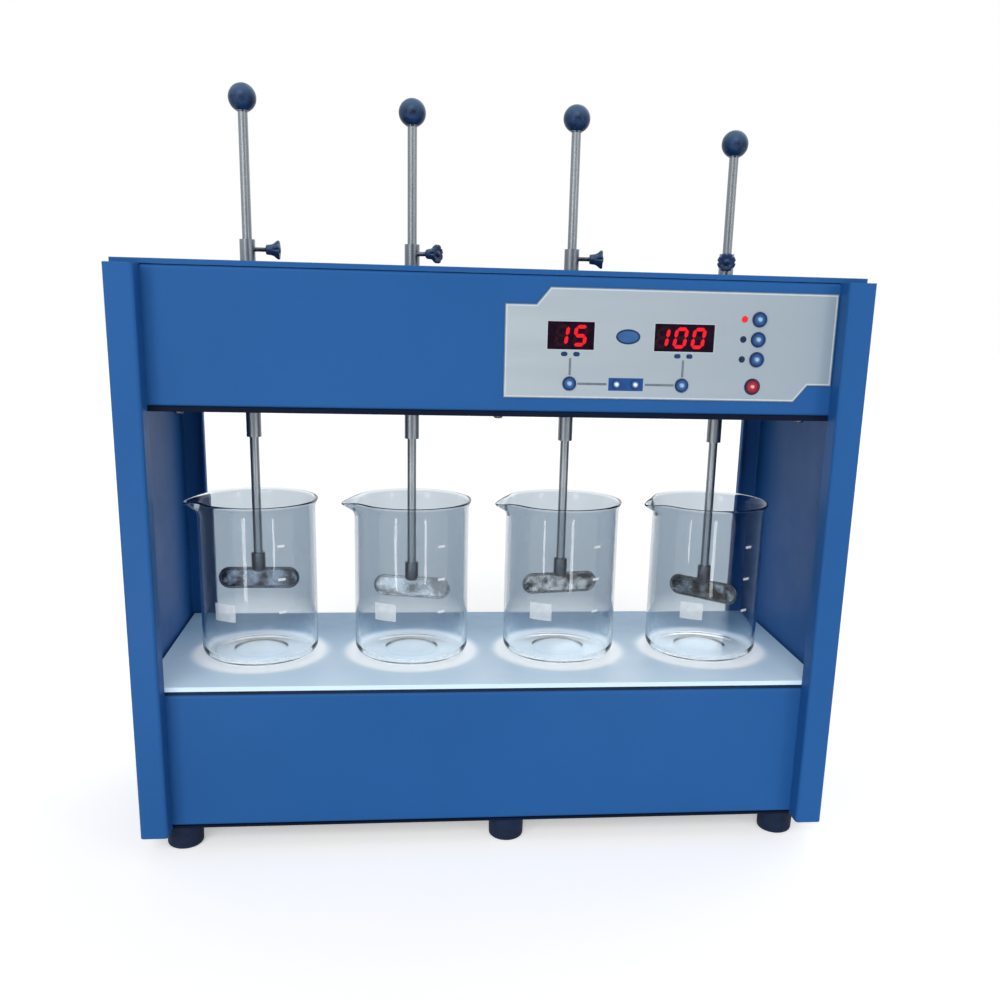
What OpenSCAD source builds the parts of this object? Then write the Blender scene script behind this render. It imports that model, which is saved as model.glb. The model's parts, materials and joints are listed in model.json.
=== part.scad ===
// Four-place paddle stirrer for jar tests: lit base, open bay and a gear-driven head.
// Millimetres, +Z up, front towards -Y, origin on the bench under the middle of the casing.

/* [Casing] */
// Overall width across the side panels
case_w = 600; // [570:1:740]
// Overall depth of the side panels
case_d = 244; // [236:1:320]
// Height of the side panels
case_h = 473; // [440:1:600]
// Thickness of the folded sheet steel
sheet_t = 2; // [1.2:0.1:2.5]
// Width of the flange folded along each edge of a side panel
flange_w = 23; // [18:0.5:30]
// How far the front panels sit behind the front of the side panels
front_setback = 18; // [8:0.5:28]
// How far the rear panels sit ahead of the rear of the side panels
rear_setback = 10; // [6:0.5:20]
// Outside radius of the sheet bends
bend_r = 3; // [2.6:0.1:5]
// Depth of the flanges folded back on the front and rear panels
fold_w = 16; // [12:0.5:20]
// Height of the base, from the casing's underside to the gasket
base_h = 123; // [100:1:150]
// Height of the head's front panel
head_h = 108; // [104:1:140]
// Thickness of the head's bottom plate
head_plate_t = 4; // [3:0.5:6]
// Gap left between neighbouring sheet pieces
sheet_gap = 0.3; // [0.1:0.1:0.6]
// Width of the hem folded under the edges of the lid
hem_w = 12; // [8:0.5:16]
// Distance of the lid's ends from the outer faces of the side panels
lid_inset = 1; // [0:0.5:8]

/* [Feet] */
// Diameter of a rubber foot
foot_d = 32; // [24:1:40]
// Height of a rubber foot
foot_h = 22; // [16:1:30]
// Distance of the outer feet from the middle of the casing
foot_x = 270; // [220:1:270]
// Distance of the feet from the faces of the front and rear panels
foot_inset = 17; // [17:1:40]
// Offset of the middle feet from the middle of the casing
middle_foot_x = 16; // [-40:1:40]

/* [Viewing panel] */
// Thickness of the white acrylic panel
diffuser_t = 4; // [3:0.5:8]
// Gap between the ends of the white panel and the side panels
diffuser_gap = 3.5; // [0.5:0.5:6]
// Thickness of the gasket strips under the panel
gasket_t = 3; // [2:0.5:5]
// Width of the gasket strips
gasket_w = 14; // [8:1:15]
// Diameter of a lamp tube
lamp_d = 16; // [12:1:26]
// Distance between the two lamp tubes
lamp_spacing = 108; // [60:1:120]
// Height of the lamp tubes above the bottom plate
lamp_up = 48; // [30:1:60]
// Thickness of a lamp holder along the tube
holder_t = 14; // [8:1:20]

/* [Stirrers] */
// Distance between neighbouring stirrers
stirrer_pitch = 140; // [126:1:148]
// Distance of the stirrers behind the front of the side panels
stirrer_back = 116; // [112:1:126]
// Diameter of a stirring rod
rod_d = 8; // [6:0.5:10]
// Outside diameter of a hollow spindle
spindle_d = 13; // [12:0.5:16]
// Height of the spindles above the head
spindle_above = 25; // [22:1:40]
// Length of the spindles below the head
spindle_below = 31; // [10:1:40]
// Running clearance between turning or sliding pieces and their bores
run_gap = 0.05; // [0.03:0.01:0.08]
// Clearance where pieces pass each other without a fit
pass_gap = 0.3; // [0.2:0.05:0.5]
// Diameter of a ball knob
ball_d = 23; // [18:1:32]
// Depth of the rod's hole in a ball knob
ball_hole = 14; // [8:1:16]
// Height of each ball's centre above its spindle
ball_up = [112, 106, 107, 92]; // [70:1:140]
// Height of each paddle's centre above the viewing panel
paddle_up = [70, 61, 65, 58]; // [30:1:80]

/* [Paddles] */
// Length of a paddle blade
blade_l = 73; // [50:1:90]
// Height of a paddle blade
blade_h = 20; // [16:1:26]
// Thickness of a blade at its rim
blade_t = 3; // [2:0.1:4]
// Width of the raised rim
blade_rim = 2.5; // [1.5:0.1:4]
// Depth of the dished face on each side
blade_dish = 0.8; // [0.3:0.1:0.9]
// Diameter of a paddle's hub
hub_d = 12.5; // [11:0.5:16]
// Height of the hub above the blade's centre
hub_up = 24; // [18:1:30]
// Turn of each paddle from facing the front
paddle_turn = [0, -15, 10, -45]; // [-90:1:90]

/* [Thumbscrews] */
// Diameter of the threaded shank
screw_d = 4; // [3:0.5:5]
// Distance of the screw's axis below the spindle's top
screw_drop = 8; // [5:0.5:12]
// Length of bare shank between spindle and knob
shank_l = 9; // [4:0.5:14]
// Length of the tapered knob
knob_l = 12.5; // [10:0.5:20]
// Diameter of the knob at its narrow end
knob_d0 = 7.5; // [6:0.5:10]
// Diameter of the knob at its wide end
knob_d1 = 16; // [12:0.5:20]
// Direction of each thumbscrew about its spindle
screw_turn = [0, -35, -8, -107]; // [-180:1:180]

/* [Gears] */
// Teeth on a spindle gear, an even number
spindle_teeth = 32; // [28:2:36]
// Teeth on an idler gear, an even number
idler_teeth = 24; // [20:2:28]
// Teeth on the motor pinion
pinion_teeth = 18; // [17:1:20]
// Width of the gear teeth
gear_face = 12; // [8:1:14]
// Play between meshing teeth
backlash = 0.3; // [0.2:0.05:0.5]
// Diameter of the idler shafts
idler_shaft_d = 8; // [6:0.5:10]
// Diameter of the motor shaft
motor_shaft_d = 6; // [5:0.5:8]
// Diameter of the motor
motor_d = 56; // [40:1:60]
// Height of the motor
motor_h = 52; // [40:1:54]
// Height of the space for the gears between head plate and bearing channel
gear_room = 37; // [32:1:37]
// Thickness of the bearing channel's top
channel_t = 5; // [4:0.5:5]
// Wall of a bearing bush
bush_wall = 2.5; // [2:0.5:4]
// Thickness and overhang of a bush's flange
bush_flange = 3; // [2:0.5:4]

/* [Beakers] */
// Outside diameter of a beaker
beaker_d = 105; // [80:1:118]
// Height of a beaker
beaker_h = 145; // [110:1:170]
// Thickness of the glass wall
glass_t = 2.2; // [1.5:0.1:3]
// Thickness of the glass base
glass_base_t = 3.5; // [2.5:0.1:5]
// Overhang of the rim
rim_out = 2; // [1:0.1:3]
// Reach of the spout past the wall
spout_reach = 10; // [6:0.5:12]
// Direction of the spout
spout_turn = 188; // [160:1:200]

/* [Controls] */
// Left edge of the control label from the middle of the casing
label_x = 3; // [0:0.5:4]
// Lower edge of the label above the lower edge of the head panel
label_up = 11.5; // [10:0.5:14]
// Width of the label
label_w = 273; // [266:1:273]
// Height of the label
label_h = 87.5; // [86:0.5:92]
// Thickness of the label
label_t = 1; // [0.5:0.1:1.5]
// Length of the label's upper left step
step_l = 25; // [10:1:36]
// Length of the label's lower right step
lower_step_l = 20; // [10:1:36]
// Height of the label's two stepped corners
step_h = 13.5; // [8:0.5:18]
// Length of the slope in each stepped corner
step_slope = 11; // [4:0.5:16]
// Height of the display windows
window_h = 21.5; // [16:0.5:26]
// Width of the time display's window
time_w = 37.5; // [28:0.5:40]
// Width of the speed display's window
speed_w = 49; // [36:0.5:50]
// Distance of each display's middle from the middle of the pair of small keys
display_apart = 46.5; // [42:0.5:50]
// Middle of the pair of small keys from the label's left edge
pair_x = 100; // [94:0.5:102]
// Distance between the two small keys
pair_apart = 15.5; // [12:0.5:18]
// Middle of the displays above the label's lower edge
display_up = 50; // [47:0.5:54]
// Lower row of keys above the label's lower edge
row_up = 12; // [11:0.5:14]
// Mode keys from the label's left edge
mode_x = 208; // [203:0.5:213]
// Distance between neighbouring mode keys
mode_pitch = 16; // [16:0.5:17]
// Red key from the label's left edge
power_x = 206; // [201:0.5:211]
// Distance of the indicator lamps from the mode keys
lamp_off = 12.5; // [11:0.5:16]
// Diameter of a mode key
mode_d = 12; // [8:0.5:12]
// Diameter of a set key and of the red key
set_d = 11; // [8:0.5:12]
// Diameter of a small key
small_d = 7; // [5:0.5:8]
// Diameter of an indicator lamp
led_d = 5; // [3:0.5:5]
// How far the keys stand out of the label
key_out = 1.6; // [1.2:0.1:2.5]
// Travel of a key
key_travel = 1; // [0.5:0.1:1.2]
// Clearance round the keys, lamps and displays
key_gap = 0.2; // [0.1:0.05:0.3]
// Distance of the control board behind the head panel
board_back = 16; // [14:0.5:20]
// Thickness of the control board
board_t = 1.6; // [1:0.1:2]

/* [Supply] */
// Width, depth and height of the power supply
supply_size = [92, 96, 40]; // [30:1:100]
// Position of the power supply's middle across the casing
supply_x = -140; // [-144:1:-136]
// Position of the mains inlet across the casing
inlet_x = -220; // [-235:1:-180]
// Opening of the mains inlet: width, height and depth
inlet_size = [25, 17, 18]; // [14:0.5:30]
// Wall and flange of the mains inlet
inlet_wall = 2.5; // [2:0.5:4]

/* [Screws] */
// Diameter of a casing screw
bolt_d = 4; // [3:0.5:4]
// Diameter of a casing screw's head
bolt_head_d = 7.6; // [6:0.2:8]
// Height of a casing screw's head
bolt_head_h = 2.2; // [1.5:0.1:3]
// Length of a casing screw under its head
bolt_l = 7; // [5:0.5:10]

/* [Hidden] */
$fn = 48;
eps = 0.01;
// How far a cutting shape runs past the face that it opens
cut = 1;

count = len(ball_up);
bolt_gap = 0.1;
board_edge = 12;
standoff_d = 6;
led_out = 0.8;
switch_size = [6, 5, 6];
stem_d = 3;
collar_gap = 0.1;
collar_out = 1;
collar_t = 1.2;
foot_washer_t = 6;
foot_recess_gap = 2;
holder_w = 24;
holder_cup = 6;
holder_rise = 12;
shoulder_gap = 0.2;
top_hole_gap = 1.5;
shaft_end_gap = 1;
hub_step = 4;
channel_leg_t = 3;
channel_margin = 10;
pressure_angle = 20;
dedendum = 1.25;
flank_steps = 2;
beaker_heel = 8;
spout_root = 6;
pin_size = [2, 14, 4];
pin_spread = 7;
pin_stagger = 2;
fuse_h = 9;
fuse_groove = 1;

// Main planes of the casing
bottom_z = foot_h;
top_z = bottom_z + case_h;
front_y = -case_d / 2;
face_y = front_y + front_setback;
back_y = case_d / 2 - rear_setback;
wall_x = case_w / 2 - sheet_t;
panel_x = wall_x - sheet_gap;
bay_x = case_w / 2 - flange_w;
base_top_z = bottom_z + base_h;
diffuser_z = base_top_z + gasket_t;
bench_z = diffuser_z + diffuser_t;
head_z = top_z - head_h;
floor_z = bottom_z + sheet_t;
panel_fold_y = face_y + fold_w / 2;
rear_fold_y = back_y - fold_w / 2;

// Stirrer line and drive
stirrer_y = front_y + stirrer_back;
spindle_top_z = top_z + spindle_above;
spindle_low_z = head_z - head_plate_t - spindle_below;
gear_module = stirrer_pitch / (spindle_teeth + idler_teeth);
channel_z = head_z + gear_room;
channel_top_z = channel_z + channel_t;
gear_z = head_z + bush_flange + shoulder_gap + hub_step;
pinion_y = stirrer_y + gear_module * (idler_teeth + pinion_teeth) / 2;
idler_turn = 180 / idler_teeth;
pinion_turn = 270 + 180 / pinion_teeth - (idler_turn - 90) * idler_teeth / pinion_teeth;
tip_reach = gear_module * (spindle_teeth / 2 + 1);
channel_front_y = stirrer_y - tip_reach - channel_margin;
channel_back_y = pinion_y + gear_module * (pinion_teeth / 2 + 1) + channel_margin;
channel_x = panel_x - channel_margin;
bush_d = spindle_d + 2 * run_gap + 2 * bush_wall;
top_hole_d = spindle_d + 2 * top_hole_gap;

// Control panel, measured along X and Z on the head panel
label_z = head_z + label_up;
label_y = face_y - label_t;
board_y = face_y + board_back;
display_z = label_z + display_up;
row_z = label_z + row_up;
small_pair_x = label_x + pair_x;
keys = [
    ["mode_key_1", label_x + mode_x, display_z + mode_pitch, mode_d, "royalblue"],
    ["mode_key_2", label_x + mode_x, display_z, mode_d, "royalblue"],
    ["mode_key_3", label_x + mode_x, display_z - mode_pitch, mode_d, "royalblue"],
    ["power_key", label_x + power_x, row_z, set_d, "firebrick"],
    ["time_set_key", small_pair_x - display_apart, row_z, set_d, "royalblue"],
    ["speed_set_key", small_pair_x + display_apart, row_z, set_d, "royalblue"],
    ["down_key", small_pair_x - pair_apart / 2, row_z, small_d, "white"],
    ["up_key", small_pair_x + pair_apart / 2, row_z, small_d, "white"],
];
windows = [
    [small_pair_x - display_apart, time_w],
    [small_pair_x + display_apart, speed_w],
];
led_x = label_x + mode_x - lamp_off;
led_rows = [for (i = [1, 0, -1]) display_z + i * mode_pitch];
board_x0 = label_x + board_edge;
board_x1 = label_x + label_w - board_edge;
board_z0 = head_z + fold_w / 2;
board_z1 = top_z - sheet_t - fold_w - standoff_d / 2;
standoffs = [
    for (x = [board_x0 + standoff_d, board_x1 - standoff_d])
        for (z = [board_z0 + standoff_d / 2, board_z1 - standoff_d / 2])
            [x, z]
];

// Screw places
screw_inset = 22;
side_screw_y = [panel_fold_y, rear_fold_y];
base_screw_z = [floor_z + screw_inset, base_top_z - screw_inset];
head_screw_z = [head_z + screw_inset, top_z - screw_inset];
cover_screw_x = [-3, -1, 1, 3] * case_w / 8;
cover_screw_z = top_z - sheet_t - fold_w / 2;
plate_screw_x = [-1, 0, 1] * (bay_x - screw_inset);
foot_places = [
    for (x = [-foot_x, middle_foot_x, foot_x])
        for (y = [face_y + foot_inset, back_y - foot_inset])
            [x, y]
];

function stirrer_x(n) = (n - (count - 1) / 2) * stirrer_pitch;
function idler_x(n) = stirrer_x(n) + stirrer_pitch / 2;
function ball_z(n) = spindle_top_z + ball_up[n];
function paddle_z(n) = bench_z + paddle_up[n];

// Angle by which an involute has turned at radius r, from its base circle
function involute(base, r) =
    let (a = acos(min(1, base / r)))
    tan(a) * 180 / PI - a;

function polar(r, a) = [r * cos(a), r * sin(a)];

// Rectangle from corner a to corner b, with rounded corners
module rounded(a, b, r) {
    translate([a.x + r, a.y]) square([b.x - a.x - 2 * r, b.y - a.y]);
    translate([a.x, a.y + r]) square([b.x - a.x, b.y - a.y - 2 * r]);
    for (x = [a.x + r, b.x - r])
        for (y = [a.y + r, b.y - r])
            translate([x, y]) circle(r);
}

// Box from corner a to corner b
module box(a, b) {
    translate(a) cube(b - a);
}

// Cylinder along Y, from y0 to y1
module rod_y(d, x, z, y0, y1) {
    translate([x, y0, z]) rotate([-90, 0, 0]) cylinder(d = d, h = y1 - y0);
}

// Gear outline with involute flanks
module gear_outline(teeth) {
    pitch_r = gear_module * teeth / 2;
    base_r = pitch_r * cos(pressure_angle);
    root_r = pitch_r - dedendum * gear_module;
    tip_r = pitch_r + gear_module;
    low_r = max(base_r, root_r + eps);
    half_tooth = 90 / teeth - backlash / 4 / pitch_r * 180 / PI + involute(base_r, pitch_r);
    flank = [for (i = [0:flank_steps]) low_r + (tip_r - low_r) * i / flank_steps];
    back_flank = [for (i = [flank_steps:-1:0]) flank[i]];
    polygon([
        for (t = [0:teeth - 1])
            let (mid = 360 / teeth * t, foot = half_tooth - involute(base_r, low_r))
            each concat(
                [polar(root_r, mid - foot)],
                [for (r = flank) polar(r, mid - half_tooth + involute(base_r, r))],
                [for (r = back_flank) polar(r, mid + half_tooth - involute(base_r, r))],
                [polar(root_r, mid + foot)]
            )
    ]);
}

// Folded channel along X: a face with a top and a bottom flange turned back
module channel(height, depth) {
    rotate([90, 0, 90]) linear_extrude(2 * panel_x) difference() {
        rounded([0, 0], [depth + bend_r, height], bend_r);
        rounded([sheet_t, sheet_t], [depth + 2 * bend_r, height - sheet_t], bend_r - sheet_t);
        translate([depth, -eps]) square([2 * bend_r, height + 2 * eps]);
    }
}

// Front or rear panel: the channel with a flange at each end, and its side screw holes
module folded_panel(z0, z1, screw_z) {
    difference() {
        union() {
            translate([-panel_x, 0, z0]) channel(z1 - z0, fold_w);
            for (side = [-1, 1])
                translate([side * (panel_x - sheet_t / 2), fold_w / 2 + sheet_t / 2, (z0 + z1) / 2])
                    cube([sheet_t, fold_w - sheet_t, z1 - z0 - 2 * sheet_t], center = true);
        }
        for (z = screw_z)
            translate([-panel_x - cut, fold_w / 2, z])
                rotate([0, 90, 0]) cylinder(d = bolt_d + 2 * bolt_gap, h = 2 * (panel_x + cut));
    }
}

// Pan-head screw with its head above z = 0 and its shank below
module screw() {
    cylinder(d = bolt_head_d, h = bolt_head_h);
    translate([0, 0, -bolt_l]) cylinder(d = bolt_d, h = bolt_l + eps);
}

module screw_hole(x, y, z0, z1) {
    translate([x, y, z0]) cylinder(d = bolt_d + 2 * bolt_gap, h = z1 - z0);
}

// Side panel seen as the right one: a folded pan, open towards the bay
module side_panel() {
    low = [bay_x, front_y];
    high = [case_w / 2, case_d / 2];
    skin = [sheet_t, sheet_t];
    color("steelblue") difference() {
        union() {
            translate([0, 0, bottom_z]) linear_extrude(case_h) difference() {
                rounded(low, high, bend_r);
                rounded(low + skin, high - skin, bend_r - sheet_t);
                translate([bay_x - eps, face_y]) square([sheet_t + 2 * eps, back_y - face_y]);
            }
            for (z = [bottom_z, top_z - sheet_t])
                translate([0, 0, z]) linear_extrude(sheet_t) rounded(low, high, bend_r);
        }
        for (y = side_screw_y)
            for (z = concat(base_screw_z, head_screw_z))
                translate([bay_x + sheet_t + eps, y, z])
                    rotate([0, 90, 0]) cylinder(d = bolt_d + 2 * bolt_gap, h = flange_w);
        for (p = foot_places)
            screw_hole(abs(p.x), p.y, bottom_z - cut, floor_z + cut);
    }
}

module left_side_panel() {
    mirror([1, 0, 0]) side_panel();
}

module right_side_panel() {
    side_panel();
}

module base_front_panel() {
    color("steelblue") difference() {
        translate([0, face_y, 0]) folded_panel(floor_z, base_top_z, base_screw_z);
        for (p = foot_places)
            screw_hole(p.x, p.y, floor_z - cut, floor_z + sheet_t + cut);
    }
}

module base_rear_panel() {
    color("steelblue") difference() {
        translate([0, back_y, 0]) mirror([0, 1, 0]) folded_panel(floor_z, base_top_z, base_screw_z);
        for (p = foot_places)
            screw_hole(p.x, p.y, floor_z - cut, floor_z + sheet_t + cut);
    }
}

// Plate between the bottom flanges of the two side panels
module base_bottom_plate() {
    plate_x = bay_x - sheet_gap;
    color("midnightblue") difference() {
        box([-plate_x, face_y, bottom_z], [plate_x, back_y, floor_z]);
        for (p = foot_places)
            screw_hole(p.x, p.y, bottom_z - cut, floor_z + cut);
    }
}

module viewing_panel() {
    diffuser_x = wall_x - diffuser_gap;
    color("white") box(
        [-diffuser_x, face_y + sheet_gap, diffuser_z],
        [diffuser_x, back_y - sheet_gap, bench_z]
    );
}

module panel_gaskets() {
    front = face_y + sheet_t / 2;
    rear = back_y - sheet_t / 2;
    color("black") for (y = [front, rear - gasket_w])
        box([-panel_x, y, base_top_z], [panel_x, y + gasket_w, diffuser_z]);
}

module lamp_tubes() {
    middle_y = (face_y + back_y) / 2;
    color("ghostwhite") for (side = [-1, 1])
        translate([-lamp_end(), middle_y + side * lamp_spacing / 2, floor_z + lamp_up])
            rotate([0, 90, 0]) cylinder(d = lamp_d, h = 2 * lamp_end());
}

// Half length of a lamp tube, from its seats in the two holders
function lamp_end() = bay_x - holder_t + holder_cup - sheet_gap - pass_gap;

module lamp_holders() {
    middle_y = (face_y + back_y) / 2;
    holder_h = lamp_up + holder_rise;
    holder_x = bay_x - holder_t / 2 - sheet_gap;
    color("gainsboro") for (end = [-1, 1])
        for (side = [-1, 1])
            translate([end * holder_x, middle_y + side * lamp_spacing / 2, floor_z])
                difference() {
                    translate([-holder_t / 2, -holder_w / 2, 0]) cube([holder_t, holder_w, holder_h]);
                    translate([-end * holder_t / 2, 0, lamp_up])
                        rotate([0, end * 90, 0]) translate([0, 0, -cut])
                            cylinder(d = lamp_d + 2 * pass_gap, h = holder_cup + cut);
                }
}

// Room for the top cover behind a head panel, and for the side panels' top flanges over its ends
module cover_room() {
    flange_z = top_z - sheet_t - sheet_gap;
    box([-case_w, sheet_t, flange_z - fold_w], [case_w, 2 * fold_w, top_z + cut]);
    for (side = [-1, 1])
        translate([side * case_w / 2, 0, (flange_z + top_z) / 2])
            cube([2 * (flange_w + sheet_gap), 4 * sheet_t, top_z - flange_z + eps], center = true);
}

module head_front_panel() {
    color("steelblue") difference() {
        union() {
            translate([0, face_y, 0]) folded_panel(head_z, top_z, head_screw_z);
            for (p = standoffs)
                rod_y(standoff_d, p[0], p[1], face_y + sheet_t / 2, board_y);
        }
        translate([0, face_y, 0]) cover_room();
        for (k = keys)
            rod_y(k[3] + 2 * key_gap, k[1], k[2], face_y - cut, face_y + sheet_t + eps);
        for (z = led_rows)
            rod_y(led_d + 2 * key_gap, led_x, z, face_y - cut, face_y + sheet_t + cut);
        for (w = windows)
            translate([w[0], face_y, display_z])
                cube([w[1] + 2 * key_gap, 2 * (sheet_t + cut), window_h + 2 * key_gap], center = true);
        for (x = plate_screw_x)
            screw_hole(x, panel_fold_y, head_z - cut, head_z + sheet_t + cut);
    }
}

module head_rear_panel() {
    body_w = inlet_size.x + 2 * inlet_wall;
    outer = [body_w + 2 * pass_gap, 2 * (sheet_t + cut), inlet_body_h() + 2 * pass_gap];
    color("steelblue") difference() {
        translate([0, back_y, 0]) mirror([0, 1, 0]) folded_panel(head_z, top_z, head_screw_z);
        translate([0, back_y, 0]) mirror([0, 1, 0]) cover_room();
        translate([inlet_x, back_y, inlet_mid_z()]) cube(outer, center = true);
        for (x = cover_screw_x)
            rod_y(bolt_d + 2 * bolt_gap, x, cover_screw_z, back_y - sheet_t - cut, back_y + cut);
        for (x = plate_screw_x)
            screw_hole(x, rear_fold_y, head_z - cut, head_z + sheet_t + cut);
    }
}

// Lid that lies on the head and the side panels, hemmed all round, with flanges turned down inside
// the front and rear panels
module head_top_cover() {
    lid_x = case_w / 2 - lid_inset;
    lid_z = top_z + 2 * sheet_t;
    flange_x = bay_x - sheet_gap;
    flange_z = top_z - sheet_t - fold_w;
    y0 = face_y + sheet_t + sheet_gap;
    y1 = back_y - sheet_t - sheet_gap;
    color("steelblue") difference() {
        union() {
            difference() {
                box([-lid_x, face_y, top_z], [lid_x, back_y, lid_z]);
                box(
                    [hem_w - lid_x, face_y + hem_w, top_z - cut],
                    [lid_x - hem_w, back_y - hem_w, lid_z - sheet_t]
                );
            }
            for (y = [y0, y1 - sheet_t])
                box([-flange_x, y, flange_z], [flange_x, y + sheet_t, top_z + eps]);
        }
        for (n = [0:count - 1])
            translate([stirrer_x(n), stirrer_y, top_z])
                cylinder(d = top_hole_d, h = 2 * sheet_t + cut);
        for (x = cover_screw_x)
            rod_y(bolt_d + 2 * bolt_gap, x, cover_screw_z, y1 - sheet_t - cut, y1 + cut);
    }
}

module head_bottom_plate() {
    color("midnightblue") difference() {
        box(
            [-panel_x, face_y + sheet_gap, head_z - head_plate_t],
            [panel_x, back_y - sheet_gap, head_z]
        );
        for (n = [0:count - 1])
            translate([stirrer_x(n), stirrer_y, head_z - head_plate_t - cut])
                cylinder(d = bush_d + 2 * run_gap, h = head_plate_t + 2 * cut);
        for (n = [0:count - 2])
            translate([idler_x(n), stirrer_y, head_z - head_plate_t - cut])
                cylinder(d = idler_shaft_d + 2 * run_gap, h = head_plate_t + 2 * cut);
        for (x = plate_screw_x)
            for (y = side_screw_y)
                screw_hole(x, y, head_z - head_plate_t - cut, head_z + cut);
    }
}

// Upside-down channel over the gears, carrying the upper bushes and the motor
module bearing_channel() {
    color("silver") difference() {
        box([-channel_x, channel_front_y, head_z], [channel_x, channel_back_y, channel_top_z]);
        box(
            [-channel_x - cut, channel_front_y + channel_leg_t, head_z - cut],
            [channel_x + cut, channel_back_y - channel_leg_t, channel_z]
        );
        for (n = [0:count - 1])
            translate([stirrer_x(n), stirrer_y, channel_z - cut])
                cylinder(d = bush_d + 2 * run_gap, h = channel_t + 2 * cut);
        for (n = [0:count - 2])
            translate([idler_x(n), stirrer_y, channel_z - cut])
                cylinder(d = idler_shaft_d + 2 * run_gap, h = channel_t + 2 * cut);
        translate([0, pinion_y, channel_z - cut])
            cylinder(d = motor_shaft_d + 2 * pass_gap, h = channel_t + 2 * cut);
    }
}

// Flanged bush standing on a plate of thickness t whose top is at z = 0
module bush(t) {
    difference() {
        union() {
            translate([0, 0, -t]) cylinder(d = bush_d, h = t + eps);
            cylinder(d = bush_d + 2 * bush_flange, h = bush_flange);
        }
        translate([0, 0, -t - cut]) cylinder(d = spindle_d + 2 * run_gap, h = t + bush_flange + 2 * cut);
    }
}

module bearing_bushes() {
    color("darkgoldenrod") for (n = [0:count - 1])
        translate([stirrer_x(n), stirrer_y, 0]) {
            translate([0, 0, head_z]) bush(head_plate_t);
            translate([0, 0, channel_top_z]) bush(channel_t);
        }
}

module drive_motor() {
    color("dimgray") translate([0, pinion_y, channel_top_z]) difference() {
        cylinder(d = motor_d, h = motor_h);
        translate([0, 0, -cut]) cylinder(d = motor_shaft_d + 2 * run_gap, h = motor_h / 2 + cut);
    }
}

// Gear with a hub below and above its teeth, standing on z = 0 of the gear plane
module gear(teeth, hub) {
    linear_extrude(gear_face) gear_outline(teeth);
    translate([0, 0, gear_face - eps]) cylinder(d = hub, h = hub_step);
}

module motor_pinion() {
    shaft_top = channel_top_z + motor_h / 2 - shaft_end_gap;
    color("darkslategray") translate([0, pinion_y, 0]) {
        translate([0, 0, gear_z]) rotate(pinion_turn) gear(pinion_teeth, 2 * motor_shaft_d);
        translate([0, 0, gear_z + eps]) cylinder(d = motor_shaft_d, h = shaft_top - gear_z);
    }
}

module idler_gear(n) {
    shoulder_z = head_z + shoulder_gap;
    shaft_z = head_z - head_plate_t + shoulder_gap;
    color("ivory") translate([idler_x(n), stirrer_y, 0]) {
        translate([0, 0, gear_z]) rotate(idler_turn) gear(idler_teeth, 2 * idler_shaft_d);
        translate([0, 0, shoulder_z]) cylinder(d = 2 * idler_shaft_d, h = gear_z - shoulder_z + eps);
        translate([0, 0, shaft_z]) cylinder(d = idler_shaft_d, h = channel_top_z - shaft_z - shoulder_gap);
    }
}

// Hollow spindle, and the gear fixed to it as a second solid
module geared_spindle(n) {
    hub = spindle_d + 2 * bush_wall + 2 * bush_flange;
    hub_z = head_z + bush_flange + shoulder_gap;
    translate([stirrer_x(n), stirrer_y, 0]) {
        color("gainsboro") difference() {
            translate([0, 0, spindle_low_z]) cylinder(d = spindle_d, h = spindle_top_z - spindle_low_z);
            translate([0, 0, spindle_low_z - cut])
                cylinder(d = rod_d + 2 * run_gap, h = spindle_top_z - spindle_low_z + 2 * cut);
            translate([0, 0, spindle_top_z - screw_drop])
                rotate([0, 90, screw_turn[n]]) cylinder(d = screw_d + 2 * run_gap, h = spindle_d);
        }
        color("ivory") difference() {
            union() {
                translate([0, 0, gear_z]) gear(spindle_teeth, hub);
                translate([0, 0, hub_z]) cylinder(d = hub, h = gear_z - hub_z + eps);
            }
            translate([0, 0, hub_z - cut])
                cylinder(d = spindle_d + 2 * run_gap, h = gear_face + 2 * (hub_step + cut));
        }
    }
}

// Shank and tapered knob, pointing along +X before it is turned into place
module thumbscrew(n) {
    tip = rod_d / 2 + pass_gap;
    knob_x = spindle_d / 2 + shank_l;
    edge = 1.5;
    color("midnightblue")
        translate([stirrer_x(n), stirrer_y, spindle_top_z - screw_drop]) rotate([0, 90, screw_turn[n]]) {
            translate([0, 0, tip]) cylinder(d = screw_d, h = knob_x - tip + edge);
            translate([0, 0, knob_x]) rotate_extrude() polygon([
                [0, 0],
                [knob_d0 / 2, 0],
                [knob_d1 / 2, knob_l - 2 * edge],
                [knob_d1 / 2, knob_l - edge],
                [knob_d1 / 2 - edge, knob_l],
                [0, knob_l],
            ]);
        }
}

module stirring_rod(n) {
    low = paddle_z(n) + hub_up - rod_depth();
    high = ball_z(n) - ball_d / 2 + ball_hole - shoulder_gap;
    color("silver") translate([stirrer_x(n), stirrer_y, low]) cylinder(d = rod_d, h = high - low);
}

// Depth of a rod in its paddle's hub
function rod_depth() = hub_up - blade_h / 2;

module ball_knob(n) {
    color("midnightblue") translate([stirrer_x(n), stirrer_y, ball_z(n)]) difference() {
        sphere(d = ball_d);
        translate([0, 0, -ball_d]) cylinder(d = rod_d + 2 * run_gap, h = ball_d / 2 + ball_hole);
    }
}

// Outline of a blade with round ends
module stadium(length, height) {
    square([length - height, height], center = true);
    for (side = [-1, 1])
        translate([side * (length - height) / 2, 0]) circle(d = height);
}

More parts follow.
